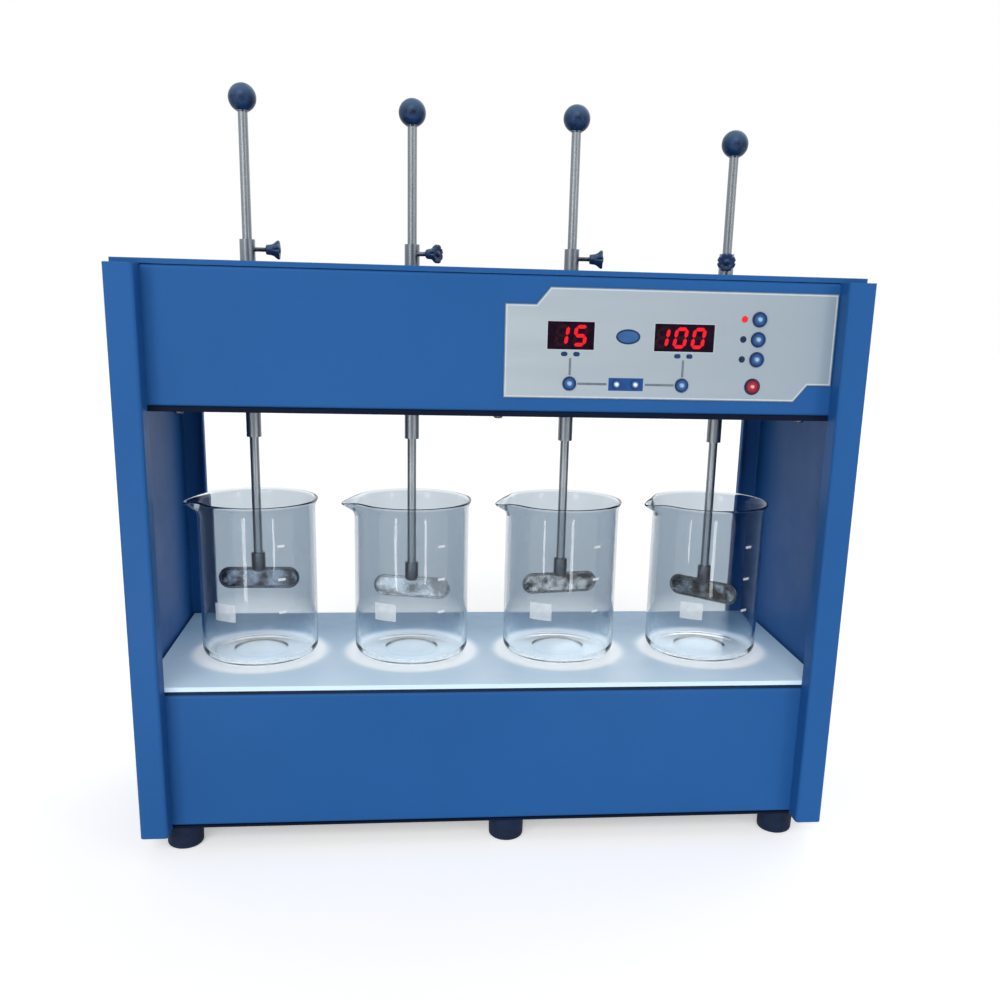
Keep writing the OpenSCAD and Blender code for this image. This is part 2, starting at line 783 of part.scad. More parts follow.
module paddle(n) {
    floor_l = blade_l - 2 * blade_rim;
    floor_h = blade_h - 2 * blade_rim;
    color("silver") translate([stirrer_x(n), stirrer_y, paddle_z(n)]) rotate(paddle_turn[n]) difference() {
        union() {
            difference() {
                rotate([90, 0, 0]) linear_extrude(blade_t, center = true) stadium(blade_l, blade_h);
                for (side = [-1, 1])
                    translate([0, side * blade_t / 2, 0]) rotate([90, 0, 0])
                        linear_extrude(2 * blade_dish, center = true) stadium(floor_l, floor_h);
            }
            translate([0, 0, blade_h / 2 - blade_rim])
                cylinder(d = hub_d, h = hub_up - blade_h / 2 + blade_rim);
        }
        translate([0, 0, hub_up - rod_depth() - shoulder_gap])
            cylinder(d = rod_d + 2 * run_gap, h = rod_depth() + shoulder_gap + cut);
    }
}

// Beaker turned from its outline, with a cone pulled out of the rim as a spout
module beaker(n) {
    outer_r = beaker_d / 2;
    inner_r = outer_r - glass_t;
    spout_r = spout_reach + spout_root;
    spout_h = 2 * spout_r;
    spout_x = outer_r + spout_reach - spout_r;
    color("lightcyan", 0.4) translate([stirrer_x(n), stirrer_y, bench_z]) rotate(spout_turn) difference() {
        union() {
            rotate_extrude() union() {
                square([outer_r - beaker_heel, beaker_h]);
                translate([0, beaker_heel]) square([outer_r, beaker_h - beaker_heel]);
                translate([outer_r - beaker_heel, beaker_heel]) circle(beaker_heel);
                translate([0, beaker_h - glass_t]) square([outer_r + rim_out, glass_t]);
            }
            translate([spout_x, 0, beaker_h - spout_h]) cylinder(r1 = 0, r2 = spout_r, h = spout_h);
        }
        rotate_extrude() union() {
            translate([0, glass_base_t]) square([inner_r - beaker_heel, beaker_h]);
            translate([0, glass_base_t + beaker_heel]) square([inner_r, beaker_h]);
            translate([inner_r - beaker_heel, glass_base_t + beaker_heel]) circle(beaker_heel);
        }
        translate([spout_x - glass_t, 0, beaker_h - spout_h + eps])
            cylinder(r1 = 0, r2 = spout_r, h = spout_h);
    }
}

// Outline of the label: a rectangle with two stepped corners
module label_outline() {
    polygon([
        [0, 0],
        [label_w - lower_step_l - step_slope, 0],
        [label_w - lower_step_l, step_h],
        [label_w, step_h],
        [label_w, label_h],
        [step_l + step_slope, label_h],
        [step_l, label_h - step_h],
        [0, label_h - step_h],
    ]);
}

module control_label() {
    color("lightsteelblue") difference() {
        translate([label_x, face_y, label_z]) rotate([90, 0, 0]) linear_extrude(label_t) label_outline();
        for (k = keys)
            rod_y(k[3] + 2 * key_gap, k[1], k[2], label_y - cut, face_y + cut);
        for (z = led_rows)
            rod_y(led_d + 2 * key_gap, led_x, z, label_y - cut, face_y + cut);
        for (w = windows)
            translate([w[0], face_y, display_z])
                cube([w[1] + 2 * key_gap, 2 * (label_t + cut), window_h + 2 * key_gap], center = true);
    }
}

module displays() {
    color("black") for (w = windows)
        box(
            [w[0] - w[1] / 2, label_y + label_t / 2, display_z - window_h / 2],
            [w[0] + w[1] / 2, board_y, display_z + window_h / 2]
        );
}

module indicator_lamps() {
    color("darkred") for (z = led_rows) {
        rod_y(led_d, led_x, z, label_y, board_y);
        translate([led_x, label_y, z]) intersection() {
            sphere(d = led_d);
            translate([-led_d / 2, -led_out, -led_d / 2]) cube([led_d, led_out + eps, led_d]);
        }
    }
}

// Key cap with a collar behind the panel and a stem to its switch
module key(k) {
    collar_y = face_y + sheet_t + collar_gap;
    stem_end = board_y - switch_size.y - key_travel - shoulder_gap;
    color(k[4]) {
        rod_y(k[3], k[1], k[2], label_y - key_out, collar_y + eps);
        rod_y(k[3] + 2 * collar_out, k[1], k[2], collar_y, collar_y + collar_t);
        rod_y(stem_d, k[1], k[2], collar_y + eps, stem_end);
    }
}

// Board with a switch behind each key
module control_board() {
    color("seagreen") {
        box([board_x0, board_y, board_z0], [board_x1, board_y + board_t, board_z1]);
        for (k = keys)
            translate([k[1] - switch_size.x / 2, board_y - switch_size.y, k[2] - switch_size.z / 2])
                cube([switch_size.x, switch_size.y + eps, switch_size.z]);
    }
}

module power_supply() {
    color("silver") translate([supply_x, stirrer_y, channel_top_z + supply_size.z / 2])
        cube(supply_size, center = true);
}

function pin_lift(i) = i == 0 ? pin_stagger : -pin_stagger;
function inlet_body_h() = inlet_size.y + fuse_h + 3 * inlet_wall;
function inlet_mid_z() = head_z + head_h / 2 - fuse_h;

// Mains socket over a fuse drawer, in one moulding with a flange outside the panel
module mains_inlet() {
    body_w = inlet_size.x + 2 * inlet_wall;
    socket_z = inlet_body_h() / 2 - inlet_wall - inlet_size.y / 2;
    fuse_z = -inlet_body_h() / 2 + inlet_wall + fuse_h / 2;
    depth = inlet_size.z + inlet_wall;
    color("black") translate([inlet_x, back_y, inlet_mid_z()]) {
        difference() {
            union() {
                translate([-body_w / 2, inlet_wall - depth, -inlet_body_h() / 2])
                    cube([body_w, depth - eps, inlet_body_h()]);
                translate([-body_w / 2 - inlet_wall, 0, -inlet_body_h() / 2 - inlet_wall])
                    cube([body_w + 2 * inlet_wall, inlet_wall, inlet_body_h() + 2 * inlet_wall]);
            }
            translate([-inlet_size.x / 2, inlet_wall - inlet_size.z, socket_z - inlet_size.y / 2])
                cube([inlet_size.x, inlet_size.z + cut, inlet_size.y]);
            difference() {
                translate([-inlet_size.x / 2, inlet_wall - fuse_groove, fuse_z - fuse_h / 2])
                    cube([inlet_size.x, fuse_groove + cut, fuse_h]);
                translate([fuse_groove - inlet_size.x / 2, 0, fuse_z - fuse_h / 2 + fuse_groove])
                    cube([inlet_size.x - 2 * fuse_groove, inlet_wall, fuse_h - 2 * fuse_groove]);
            }
        }
        for (i = [-1, 0, 1])
            translate([i * pin_spread, inlet_wall - inlet_size.z + pin_size.y / 2, socket_z + pin_lift(i)])
                cube(pin_size + [0, eps, 0], center = true);
    }
}

module casing_screws() {
    color("gainsboro") {
        for (side = [-1, 1])
            for (y = side_screw_y)
                for (z = concat(base_screw_z, head_screw_z))
                    translate([side * case_w / 2, y, z]) rotate([0, side * 90, 0]) screw();
        for (x = cover_screw_x)
            translate([x, back_y, cover_screw_z]) rotate([-90, 0, 0]) screw();
        for (x = plate_screw_x)
            for (y = side_screw_y)
                translate([x, y, head_z - head_plate_t]) rotate([180, 0, 0]) screw();
        for (p = foot_places)
            translate([p.x, p.y, bottom_z - foot_washer_t]) rotate([180, 0, 0]) {
                cylinder(d = bolt_head_d, h = bolt_head_h);
                translate([0, 0, -foot_washer_t - 3 * sheet_t])
                    cylinder(d = bolt_d, h = foot_washer_t + 3 * sheet_t + eps);
            }
    }
}

// Foot with a rounded lower edge and a recess for its screw
module rubber_feet() {
    round_r = 3;
    taper = 0.5;
    color("black") for (p = foot_places)
        translate([p.x, p.y, 0]) difference() {
            rotate_extrude() union() {
                square([foot_d / 2 - taper - round_r, foot_h]);
                translate([foot_d / 2 - taper - round_r, round_r]) circle(round_r);
                polygon([
                    [0, round_r],
                    [foot_d / 2 - taper, round_r],
                    [foot_d / 2, foot_h],
                    [0, foot_h],
                ]);
            }
            translate([0, 0, -cut])
                cylinder(d = bolt_head_d + 2 * foot_recess_gap, h = foot_h - foot_washer_t + cut);
            translate([0, 0, -cut]) cylinder(d = bolt_d + 2 * bolt_gap, h = foot_h + 2 * cut);
        }
}

left_side_panel();
right_side_panel();
base_front_panel();
base_rear_panel();
base_bottom_plate();
viewing_panel();
panel_gaskets();
lamp_tubes();
lamp_holders();
head_front_panel();
head_rear_panel();
head_top_cover();
head_bottom_plate();
bearing_channel();
bearing_bushes();
drive_motor();
motor_pinion();
control_label();
displays();
indicator_lamps();
control_board();
power_supply();
mains_inlet();
casing_screws();
rubber_feet();
for (k = keys)
    key(k);
for (n = [0:count - 2])
    idler_gear(n);
for (n = [0:count - 1]) {
    geared_spindle(n);
    thumbscrew(n);
    stirring_rod(n);
    ball_knob(n);
    paddle(n);
    beaker(n);
}
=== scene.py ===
"""Looks of a four-place paddle stirrer for jar tests, built round its CAD frame. Lengths are metres."""

import json
import math

import bmesh
import bpy
from mathutils import Matrix, Vector


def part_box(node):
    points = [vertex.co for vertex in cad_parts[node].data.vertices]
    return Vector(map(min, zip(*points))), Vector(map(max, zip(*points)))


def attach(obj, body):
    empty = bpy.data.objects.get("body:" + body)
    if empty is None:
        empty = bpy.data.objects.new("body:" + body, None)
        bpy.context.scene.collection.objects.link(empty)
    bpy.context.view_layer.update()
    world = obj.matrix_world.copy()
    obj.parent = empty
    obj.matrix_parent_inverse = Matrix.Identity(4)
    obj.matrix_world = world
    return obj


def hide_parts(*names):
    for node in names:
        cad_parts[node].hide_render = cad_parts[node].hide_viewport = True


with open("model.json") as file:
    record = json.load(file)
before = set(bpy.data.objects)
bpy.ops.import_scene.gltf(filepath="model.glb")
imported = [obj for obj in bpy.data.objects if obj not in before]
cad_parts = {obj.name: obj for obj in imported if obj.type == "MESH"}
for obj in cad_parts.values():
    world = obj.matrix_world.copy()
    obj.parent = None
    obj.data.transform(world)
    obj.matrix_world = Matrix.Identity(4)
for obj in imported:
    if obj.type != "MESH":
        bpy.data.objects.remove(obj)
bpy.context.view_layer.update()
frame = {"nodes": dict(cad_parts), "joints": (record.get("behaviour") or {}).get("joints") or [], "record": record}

MM = 0.001


def mm(*values):
    return tuple(value * MM for value in values)


def in_mm(pairs):
    return [mm(*pair) for pair in pairs]


NODES = frame["nodes"]
SLOT_OF = {part["node"]: part["material_slot"] for part in frame["record"]["subparts"]}
AXIS_OF = {joint["name"]: Vector(joint["axis"]) for joint in frame["joints"] if "axis" in joint}
LABEL_LOW, LABEL_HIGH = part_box("control_label")
SCENE = bpy.context.scene
STIRRERS = (1, 2, 3, 4)
CASING = "casing"


# Places taken from the frame

def box_middle(box):
    low, high = box
    return (low + high) / 2


def middle(node):
    return box_middle(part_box(node))


def size(node):
    low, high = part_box(node)
    return high - low


def solids(node):
    """Lowest and highest corner of each separate solid in a CAD node, from left to right."""
    mesh = NODES[node].data
    keys = [tuple(round(c, 6) for c in v.co) for v in mesh.vertices]
    parent = {key: key for key in keys}

    def root(key):
        while parent[key] != key:
            parent[key] = parent[parent[key]]
            key = parent[key]
        return key

    for face in mesh.polygons:
        first = root(keys[face.vertices[0]])
        for index in face.vertices[1:]:
            parent[root(keys[index])] = first
    groups = {}
    for key in parent:
        groups.setdefault(root(key), []).append(key)
    boxes = [(Vector(map(min, zip(*g))), Vector(map(max, zip(*g)))) for g in groups.values()]
    return sorted(boxes, key=lambda box: tuple(box[0]))


# Node trees

EVEN = (1.0, 1.0, 1.0)
MIX_FIRST, MIX_SECOND, MIX_RESULT = 6, 7, 2
WORN_AND_HIGHLIT_NORMALS = (0.86, 0.995)
SPECK_BAND = (0.58, 0.72)
GLOSS_FINENESS = 7


def new_material(name):
    material = bpy.data.materials.new(name)
    material.use_nodes = True
    return material, material.node_tree, material.node_tree.nodes["Principled BSDF"]


def feed(tree, socket, value):
    """Gives a socket a value or a link."""
    if isinstance(value, bpy.types.NodeSocket):
        tree.links.new(value, socket)
    else:
        socket.default_value = value


def set_values(tree, node, **values):
    """Gives a node's sockets values or links, by their names."""
    for key, value in values.items():
        feed(tree, node.inputs[key.replace("_", " ")], value)


def add(tree, kind, settings=None, **values):
    """A new shader node, with settings on the node and values on its sockets."""
    node = tree.nodes.new("ShaderNode" + kind)
    for key, value in (settings or {}).items():
        setattr(node, key, value)
    set_values(tree, node, **values)
    return node


def compute(tree, operation, *values, kind="Math"):
    """The number that a math node makes of numbers or vectors."""
    node = add(tree, kind, {"operation": operation})
    for socket, value in zip(node.inputs, values):
        feed(tree, socket, value)
    return node.outputs["Value"]


def rgba(colour, factor=1.0):
    return tuple(min(1.0, c * factor) for c in colour) + (1.0,)


def own_place(tree):
    """The piece's own coordinates."""
    return add(tree, "TexCoord").outputs["Object"]


def axes(tree, vector):
    """The X, Y and Z of a vector."""
    return add(tree, "SeparateXYZ", Vector=vector).outputs


def noise(tree, scale, detail, stretch=EVEN):
    """Noise over the piece's own coordinates, scale cells to the metre, drawn out along an axis."""
    drawn = add(tree, "Mapping", Vector=own_place(tree), Scale=stretch).outputs["Vector"]
    return add(tree, "TexNoise", Vector=drawn, Scale=scale, Detail=detail).outputs["Fac"]


def grained(tree, scale, depth, stretch=EVEN, **normal):
    """Normal with a fine grain of a given depth, on the surface's own normal or another one."""
    height = noise(tree, scale, 2.0, stretch)
    return add(tree, "Bump", Height=height, Distance=depth, **normal).outputs["Normal"]


def spread(tree, value, low, high, start=0.3, end=0.7):
    """A value's run from start to end, spread from low to high."""
    node = add(tree, "MapRange", Value=value, From_Min=start, From_Max=end, To_Min=low, To_Max=high)
    return node.outputs["Result"]


def mixed(tree, factor, first, second):
    """Colour between two colours or colour sockets."""
    node = add(tree, "Mix", {"data_type": "RGBA"}, Factor=factor)
    feed(tree, node.inputs[MIX_FIRST], first)
    feed(tree, node.inputs[MIX_SECOND], second)
    return node.outputs[MIX_RESULT]


def colour_ramp(tree, share, stops):
    """Colour along a share, from stops of (position, colour)."""
    ramp = add(tree, "ValToRGB", Fac=share)
    while len(ramp.color_ramp.elements) < len(stops):
        ramp.color_ramp.elements.new(0.5)
    for element, (position, colour) in zip(ramp.color_ramp.elements, stops):
        element.position = position
        element.color = rgba(colour)
    return ramp.outputs["Color"]


def worn_and_highlit_edges(tree, colour, light, rounded):
    """Colour that goes lighter in places along edges, part wear and part painted highlight, where the rounded
    normal leaves the face's own.
    """
    flat = add(tree, "NewGeometry").outputs["True Normal"]
    alike = compute(tree, "DOT_PRODUCT", rounded, flat, kind="VectorMath")
    edge = spread(tree, alike, 1.0, 0.0, *WORN_AND_HIGHLIT_NORMALS)
    patch = spread(tree, noise(tree, 90, 4.0), 0.1, 0.7)
    return mixed(tree, compute(tree, "MULTIPLY", edge, patch), colour, light)


def surface(name, colour, rough, *, metal=0.0, vary=0.1, cloud=9.0, grain=600.0, relief=0.03 * MM,
            stretch=EVEN, band=(0.3, 0.7), speck=None, painted_light_fade=None, dust_and_top_light=None, worn_and_highlit=None, shine=0.5,
            alpha=1.0):
    """Surface with cloudy colour, uneven gloss and a fine relief.

    rough: least and most roughness. band: where the clouds change over. speck: fineness, strength, colour.
    painted_light_fade: painted light and shade along an axis: axis, start, end, colour at the end.
    dust_and_top_light:
    a painted highlight on what faces up: its colour, and how far up a face looks where it starts and where it is
    full.
    worn_and_highlit: colour and width of lighter edges, part wear and part painted highlight."""
    material, tree, shader = new_material(name)
    clouds = spread(tree, noise(tree, cloud, 5.0, stretch), 0.0, 1.0, *band)
    shade = mixed(tree, clouds, rgba(colour, 1 - vary), rgba(colour, 1 + vary))
    # painted light and shade along an axis
    if painted_light_fade:
        axis, start, end, tint = painted_light_fade
        along = axes(tree, own_place(tree))[axis]
        shade = mixed(tree, spread(tree, along, 0.0, 1.0, start, end), shade, rgba(tint))
    # painted highlight on faces that look upwards
    if dust_and_top_light:
        tint, start, end = dust_and_top_light
        upwards = axes(tree, add(tree, "TexCoord").outputs["Normal"])["Z"]
        shade = mixed(tree, spread(tree, upwards, 0.0, 1.0, start, end), shade, rgba(tint))
    if speck:
        fineness, amount, tint = speck
        dots = spread(tree, noise(tree, fineness, 2.0), 0.0, amount, *SPECK_BAND)
        shade = mixed(tree, dots, shade, rgba(tint))
    normal = {}
    # lighter edges: part wear, part painted highlight
    if worn_and_highlit:
        tint, radius = worn_and_highlit
        normal["Normal"] = add(tree, "Bevel", {"samples": 4}, Radius=radius).outputs["Normal"]
        shade = worn_and_highlit_edges(tree, shade, rgba(tint), normal["Normal"])
    gloss = spread(tree, noise(tree, cloud * GLOSS_FINENESS, 6.0, stretch), *rough)
    set_values(tree, shader, Base_Color=shade, Roughness=gloss, Metallic=metal, Specular_IOR_Level=shine,
               Alpha=alpha, Normal=grained(tree, grain, relief, stretch, **normal))
    return material


# Finishes, one for each material slot and a few for blades, rims, prints and lit details

BLUE = (0.014, 0.099, 0.312)
NAVY = (0.004, 0.008, 0.024)
WHITE = (1.0, 1.0, 1.0)

# Scales of noise along the axes: drawn out upwards, upwards but less so, and sideways
UPRIGHT = (1.0, 1.0, 0.03)
DRAWN = (1.0, 1.0, 0.06)
LEVEL = (0.08, 1.0, 1.0)

# Painted pool of light on the viewing panel under a beaker, ringed with painted shadows of its glass base, by
# shares of DISC_REACH from the disc's middle
DISC_REACH = 100 * MM
DISC_FORWARD = 4 * MM
DISC_EDGE = (0.56, 0.68)
LIGHT_POOL_STOPS = (
    (0.00, (0.83, 0.88, 0.91)), (0.21, (0.81, 0.87, 0.91)), (0.235, (0.72, 0.80, 0.86)),
    (0.27, (0.86, 0.90, 0.93)), (0.44, (0.86, 0.90, 0.93)), (0.48, (0.77, 0.85, 0.90)),
    (0.52, (0.93, 0.96, 0.99)), (0.585, (0.92, 0.96, 0.99)), (0.65, (0.57, 0.71, 0.835)),
    (0.75, (0.53, 0.68, 0.815)),
)
PANEL_DUST = (0.45, 0.58, 0.70)
# Painted shade towards the rear of the viewing panel, weaker on the discs, and a painted glow over the whole panel
PANEL_REAR_SHADE = (0.18, 0.29, 0.41)
REAR_SHADE_Y = 60 * MM
REAR_SHADE_ON_DISC = 0.35
PAINTED_PANEL_GLOW = 0.32

GLASS_CLEAR = (0.91, 0.945, 0.97)
# painted shade in the glass wall
GLASS_SHADE_GREY = (0.545, 0.605, 0.66)
GLASS_STOPS = ((0.16, GLASS_CLEAR), (0.30, GLASS_SHADE_GREY), (0.980, GLASS_SHADE_GREY), (0.995, GLASS_CLEAR))
GLASS_SHADOW = (0.88, 0.91, 0.93)

# Rings of colour on a key cap: shares of the heart's radius, and then of the cap's
HEART_FULL, HEART_GONE = 0.5, 1.3
FACE_END, EDGE_START = 0.58, 0.80
CAP_RIPPLE = 0.07

SPINDLE_STEEL = ((0.19, 0.21, 0.235), (0.25, 0.275, 0.30))
SPINDLE_NYLON = ((0.72, 0.69, 0.60), (0.82, 0.79, 0.70))


def acrylic():
    """Opal sheet with a painted glow all over: a bright disc of painted light under each beaker, ringed with
    painted shadows of its glass base, bluish white between the discs, and painted shade towards the rear."""
    seat = middle("stirring_rod_1")
    pitch = middle("stirring_rod_2").x - seat.x
    material, tree, shader = new_material("opal_acrylic")
    place = axes(tree, own_place(tree))
    off_x = compute(tree, "SUBTRACT", place["X"], seat.x)
    step = compute(tree, "ROUND", compute(tree, "DIVIDE", off_x, pitch))
    step = add(tree, "Clamp", Value=step, Min=0.0, Max=float(len(STIRRERS) - 1)).outputs["Result"]
    across = compute(tree, "SUBTRACT", off_x, compute(tree, "MULTIPLY", step, pitch))
    along = compute(tree, "SUBTRACT", place["Y"], seat.y - DISC_FORWARD)
    level = add(tree, "CombineXYZ", X=across, Y=along).outputs["Vector"]
    reach = compute(tree, "LENGTH", level, kind="VectorMath")
    share = spread(tree, reach, 0.0, 1.0, 0.0, DISC_REACH)
    dust_and_top_light = spread(tree, noise(tree, 9, 5.0), 0.0, 0.10)
    shade = mixed(tree, dust_and_top_light, colour_ramp(tree, share, LIGHT_POOL_STOPS), rgba(PANEL_DUST))
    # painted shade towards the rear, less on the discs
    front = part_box("viewing_panel")[0].y
    rear_shade = compute(tree, "MULTIPLY", spread(tree, place["Y"], 0.0, 1.0, front, REAR_SHADE_Y),
                   spread(tree, share, REAR_SHADE_ON_DISC, 1.0, *DISC_EDGE))
    shade = mixed(tree, rear_shade, shade, rgba(PANEL_REAR_SHADE))
    gloss = spread(tree, noise(tree, 60, 5.0), 0.32, 0.46)
    # painted glow: the whole sheet gives off its own colour
    set_values(tree, shader, Base_Color=shade, Roughness=gloss, Normal=grained(tree, 400, 0.004 * MM),
               IOR=1.49, Specular_IOR_Level=0.3, Emission_Color=shade, Emission_Strength=PAINTED_PANEL_GLOW)
    return material


def glass():
    """Glass with faint draw lines, greyish with painted shade in its wall but clear at base and rim, that lets
    light through.
    """
    low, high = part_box("beaker_1")
    material, tree, shader = new_material("beaker_glass")
    share = spread(tree, axes(tree, own_place(tree))["Z"], 0.0, 1.0, low.z, high.z)
    smears = spread(tree, noise(tree, 40, 6.0), 0.02, 0.08)
    set_values(tree, shader, Base_Color=colour_ramp(tree, share, GLASS_STOPS), Roughness=smears, IOR=1.30,
               Normal=grained(tree, 160, 0.02 * MM, DRAWN), Transmission_Weight=1.0)
    clear = add(tree, "BsdfTransparent", Color=rgba(GLASS_SHADOW))
    blend = add(tree, "MixShader", Fac=add(tree, "LightPath").outputs["Is Shadow Ray"])
    feed(tree, blend.inputs[1], shader.outputs["BSDF"])
    feed(tree, blend.inputs[2], clear.outputs["BSDF"])
    feed(tree, tree.nodes["Material Output"].inputs["Surface"], blend.outputs["Shader"])
    return material


def glowing(name, colour, strength):
    """Red light source behind a slightly uneven diffuser."""
    material, tree, shader = new_material(name)
    patches = spread(tree, noise(tree, 700, 3.0), 0.0, 1.0)
    glow = mixed(tree, patches, rgba(colour, 0.75), rgba(colour))
    set_values(tree, shader, Base_Color=rgba(colour, 0.2), Roughness=0.3, Specular_IOR_Level=0.2,
               Emission_Color=glow, Emission_Strength=strength)
    return material


def key_cap(name, radius, heart_r, heart, face, edge):
    """Moulded cap with a dark edge and a pale heart. The heart is at the piece's own origin."""
    material, tree, shader = new_material(name)
    flat = add(tree, "Mapping", Vector=own_place(tree), Scale=(1.0, 0.0, 1.0)).outputs["Vector"]
    ripple = spread(tree, noise(tree, 400, 4.0), -CAP_RIPPLE, CAP_RIPPLE)
    reach = compute(tree, "LENGTH", flat, kind="VectorMath")
    share = compute(tree, "ADD", spread(tree, reach, 0.0, 1.0, 0.0, radius), ripple)
    inner = heart_r / radius
    shade = colour_ramp(tree, share, ((inner * HEART_FULL, heart), (inner * HEART_GONE, face),
                                      (FACE_END, face), (EDGE_START, edge)))
    gloss = spread(tree, noise(tree, 500, 4.0), 0.24, 0.42)
    set_values(tree, shader, Base_Color=shade, Roughness=gloss, Normal=grained(tree, 2500, 0.01 * MM),
               Specular_IOR_Level=0.2)
    return material


def spindle():
    """Steel tube with a moulded gear round it, told apart by height."""
    low, high = max(solids("geared_spindle_1"), key=lambda box: box[1].x - box[0].x)
    blend = 0.02 * MM
    material, tree, shader = new_material("steel_and_nylon")
    height = axes(tree, own_place(tree))["Z"]
    above = spread(tree, height, 0.0, 1.0, low.z - 2 * blend, low.z - blend)
    below = spread(tree, height, 1.0, 0.0, high.z + blend, high.z + 2 * blend)
    gear = compute(tree, "MULTIPLY", above, below)
    clouds = spread(tree, noise(tree, 200, 5.0, UPRIGHT), 0.0, 1.0)
    steel, nylon = (mixed(tree, clouds, *map(rgba, tones)) for tones in (SPINDLE_STEEL, SPINDLE_NYLON))
    gloss = compute(tree, "ADD", spread(tree, noise(tree, 900, 5.0, UPRIGHT), 0.32, 0.44),
                    spread(tree, gear, 0.0, 0.10, 0.0, 1.0))
    set_values(tree, shader, Base_Color=mixed(tree, gear, steel, nylon), Roughness=gloss,
               Metallic=spread(tree, gear, 1.0, 0.0, 0.0, 1.0),
               Normal=grained(tree, 1300, 0.01 * MM, UPRIGHT))
    return material


def ink(name, colour, vary=0.12):
    return surface(name, colour, (0.36, 0.48), vary=vary, cloud=160, grain=2600, relief=0.008 * MM,
                   shine=0.15)


FINISH = {
    # edges go lighter, part wear and part painted highlight
    "blue_paint": surface(
        "blue_powder_coat", BLUE, (0.45, 0.53), vary=0.05, cloud=5, grain=750, relief=0.05 * MM,
        speck=(1500, 0.12, (0.07, 0.19, 0.44)), worn_and_highlit=((0.09, 0.24, 0.52), 1.2 * MM), shine=0.15),
    "dark_paint": surface(
        "navy_paint", NAVY, (0.48, 0.64), vary=0.2, grain=750, relief=0.05 * MM,
        speck=(1200, 0.2, (0.01, 0.02, 0.05)), shine=0.06),
    "white_acrylic": acrylic(),
    "black_rubber": surface(
        "black_rubber", (0.005, 0.014, 0.042), (0.60, 0.80), vary=0.3, cloud=30, grain=1100,
        relief=0.08 * MM, speck=(900, 0.2, (0.02, 0.04, 0.08)), shine=0.2),
    "lamp_white": surface("frosted_lamp", (0.88, 0.89, 0.88), (0.30, 0.45), vary=0.05, cloud=20),
    "plated_steel": surface(
        "dark_zinc_plate", (0.10, 0.11, 0.125), (0.30, 0.46), metal=1.0, vary=0.18, cloud=120, grain=900,
        relief=0.02 * MM),
    "bronze": surface("turned_bronze", (0.50, 0.31, 0.12), (0.24, 0.38), metal=1.0, vary=0.12, cloud=150),
    "motor_grey": surface("motor_grey", (0.10, 0.105, 0.11), (0.40, 0.55), vary=0.15, cloud=40),
    # painted sheen: the label goes darker from left to right
    "label_silver": surface(
        "silver_print", (0.425, 0.490, 0.535), (0.36, 0.48), vary=0.05, cloud=60, grain=2600,
        relief=0.012 * MM, stretch=LEVEL, painted_light_fade=("X", LABEL_LOW.x, LABEL_HIGH.x, (0.305, 0.375, 0.440)),
        speck=(1800, 0.16, (0.52, 0.58, 0.63)), shine=0.35),
    "display_black": surface(
        "dark_window", (0.011, 0.004, 0.013), (0.06, 0.16), vary=0.4, cloud=180, relief=0.004 * MM,
        speck=(900, 0.30, (0.06, 0.004, 0.012))),
    "lamp_red": surface(
        "dark_lens", (0.006, 0.020, 0.070), (0.20, 0.32), vary=0.3, cloud=300, relief=0.004 * MM, shine=0.2),
    "board_green": surface(
        "printed_board", (0.018, 0.16, 0.07), (0.30, 0.45), vary=0.3, cloud=120,
        speck=(500, 0.5, (0.10, 0.30, 0.14))),
    # painted highlight: the knobs go paler on faces that look upwards
    "black_plastic": surface(
        "navy_black_plastic", (0.008, 0.030, 0.088), (0.29, 0.40), vary=0.50, cloud=150, grain=1600,
        relief=0.012 * MM, dust_and_top_light=((0.052, 0.105, 0.195), -0.05, 0.55),
        speck=(900, 0.25, (0.12, 0.16, 0.23)), shine=0.20),
    "gear_nylon": surface(
        "natural_nylon", (0.77, 0.74, 0.65), (0.38, 0.55), vary=0.06, cloud=40, grain=900,
        relief=0.03 * MM),
    # painted light: the rods go paler from the head down to the beakers' tops
    "bright_steel": surface(
        "brushed_steel", (0.235, 0.260, 0.280), (0.34, 0.46), metal=1.0, vary=0.14, cloud=260, grain=1300,
        relief=0.010 * MM, stretch=UPRIGHT,
        painted_light_fade=("Z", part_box("geared_spindle_1")[0].z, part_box("beaker_1")[1].z, (0.330, 0.355, 0.375))),
    "beaker_glass": glass(),
    "key_blue": key_cap(
        "blue_key", 6.0 * MM, 2.0 * MM, (0.34, 0.50, 0.66), (0.020, 0.088, 0.27), (0.005, 0.030, 0.115)),
    "key_red": key_cap(
        "red_key", 5.5 * MM, 1.5 * MM, (0.62, 0.50, 0.54), (0.42, 0.014, 0.028), (0.16, 0.010, 0.028)),
    "key_white": key_cap(
        "white_key", 3.5 * MM, 1.7 * MM, (0.86, 0.90, 0.93), (0.060, 0.16, 0.36), (0.020, 0.080, 0.25)),
}
SPINDLE = spindle()
# Painted light, shade and reflection: each paddle's blade and rim get their own tone, darker or paler as each
# stands in the light
BLADE_PAINTED_LIGHT = {1: ((0.24, 0.26, 0.30), 0.85), 2: ((0.90, 0.87, 0.84), 0.55),
              3: ((0.44, 0.42, 0.405), 0.85), 4: ((0.38, 0.365, 0.355), 0.85)}
BLADE_STEEL = {n: surface(f"blade_steel_{n}", tone, (0.14, 0.32), metal=1.0, vary=vary, cloud=95, grain=95,
                          relief=0.30 * MM, band=(0.40, 0.60)) for n, (tone, vary) in BLADE_PAINTED_LIGHT.items()}
RIM_PAINTED_LIGHT = {1: (0.09, 0.10, 0.13), 2: (0.42, 0.42, 0.42), 3: (0.24, 0.24, 0.24), 4: (0.22, 0.22, 0.22)}
RIM_STEEL = {n: surface(f"rim_steel_{n}", tone, (0.20, 0.36), metal=1.0, vary=0.4, cloud=120)
             for n, tone in RIM_PAINTED_LIGHT.items()}
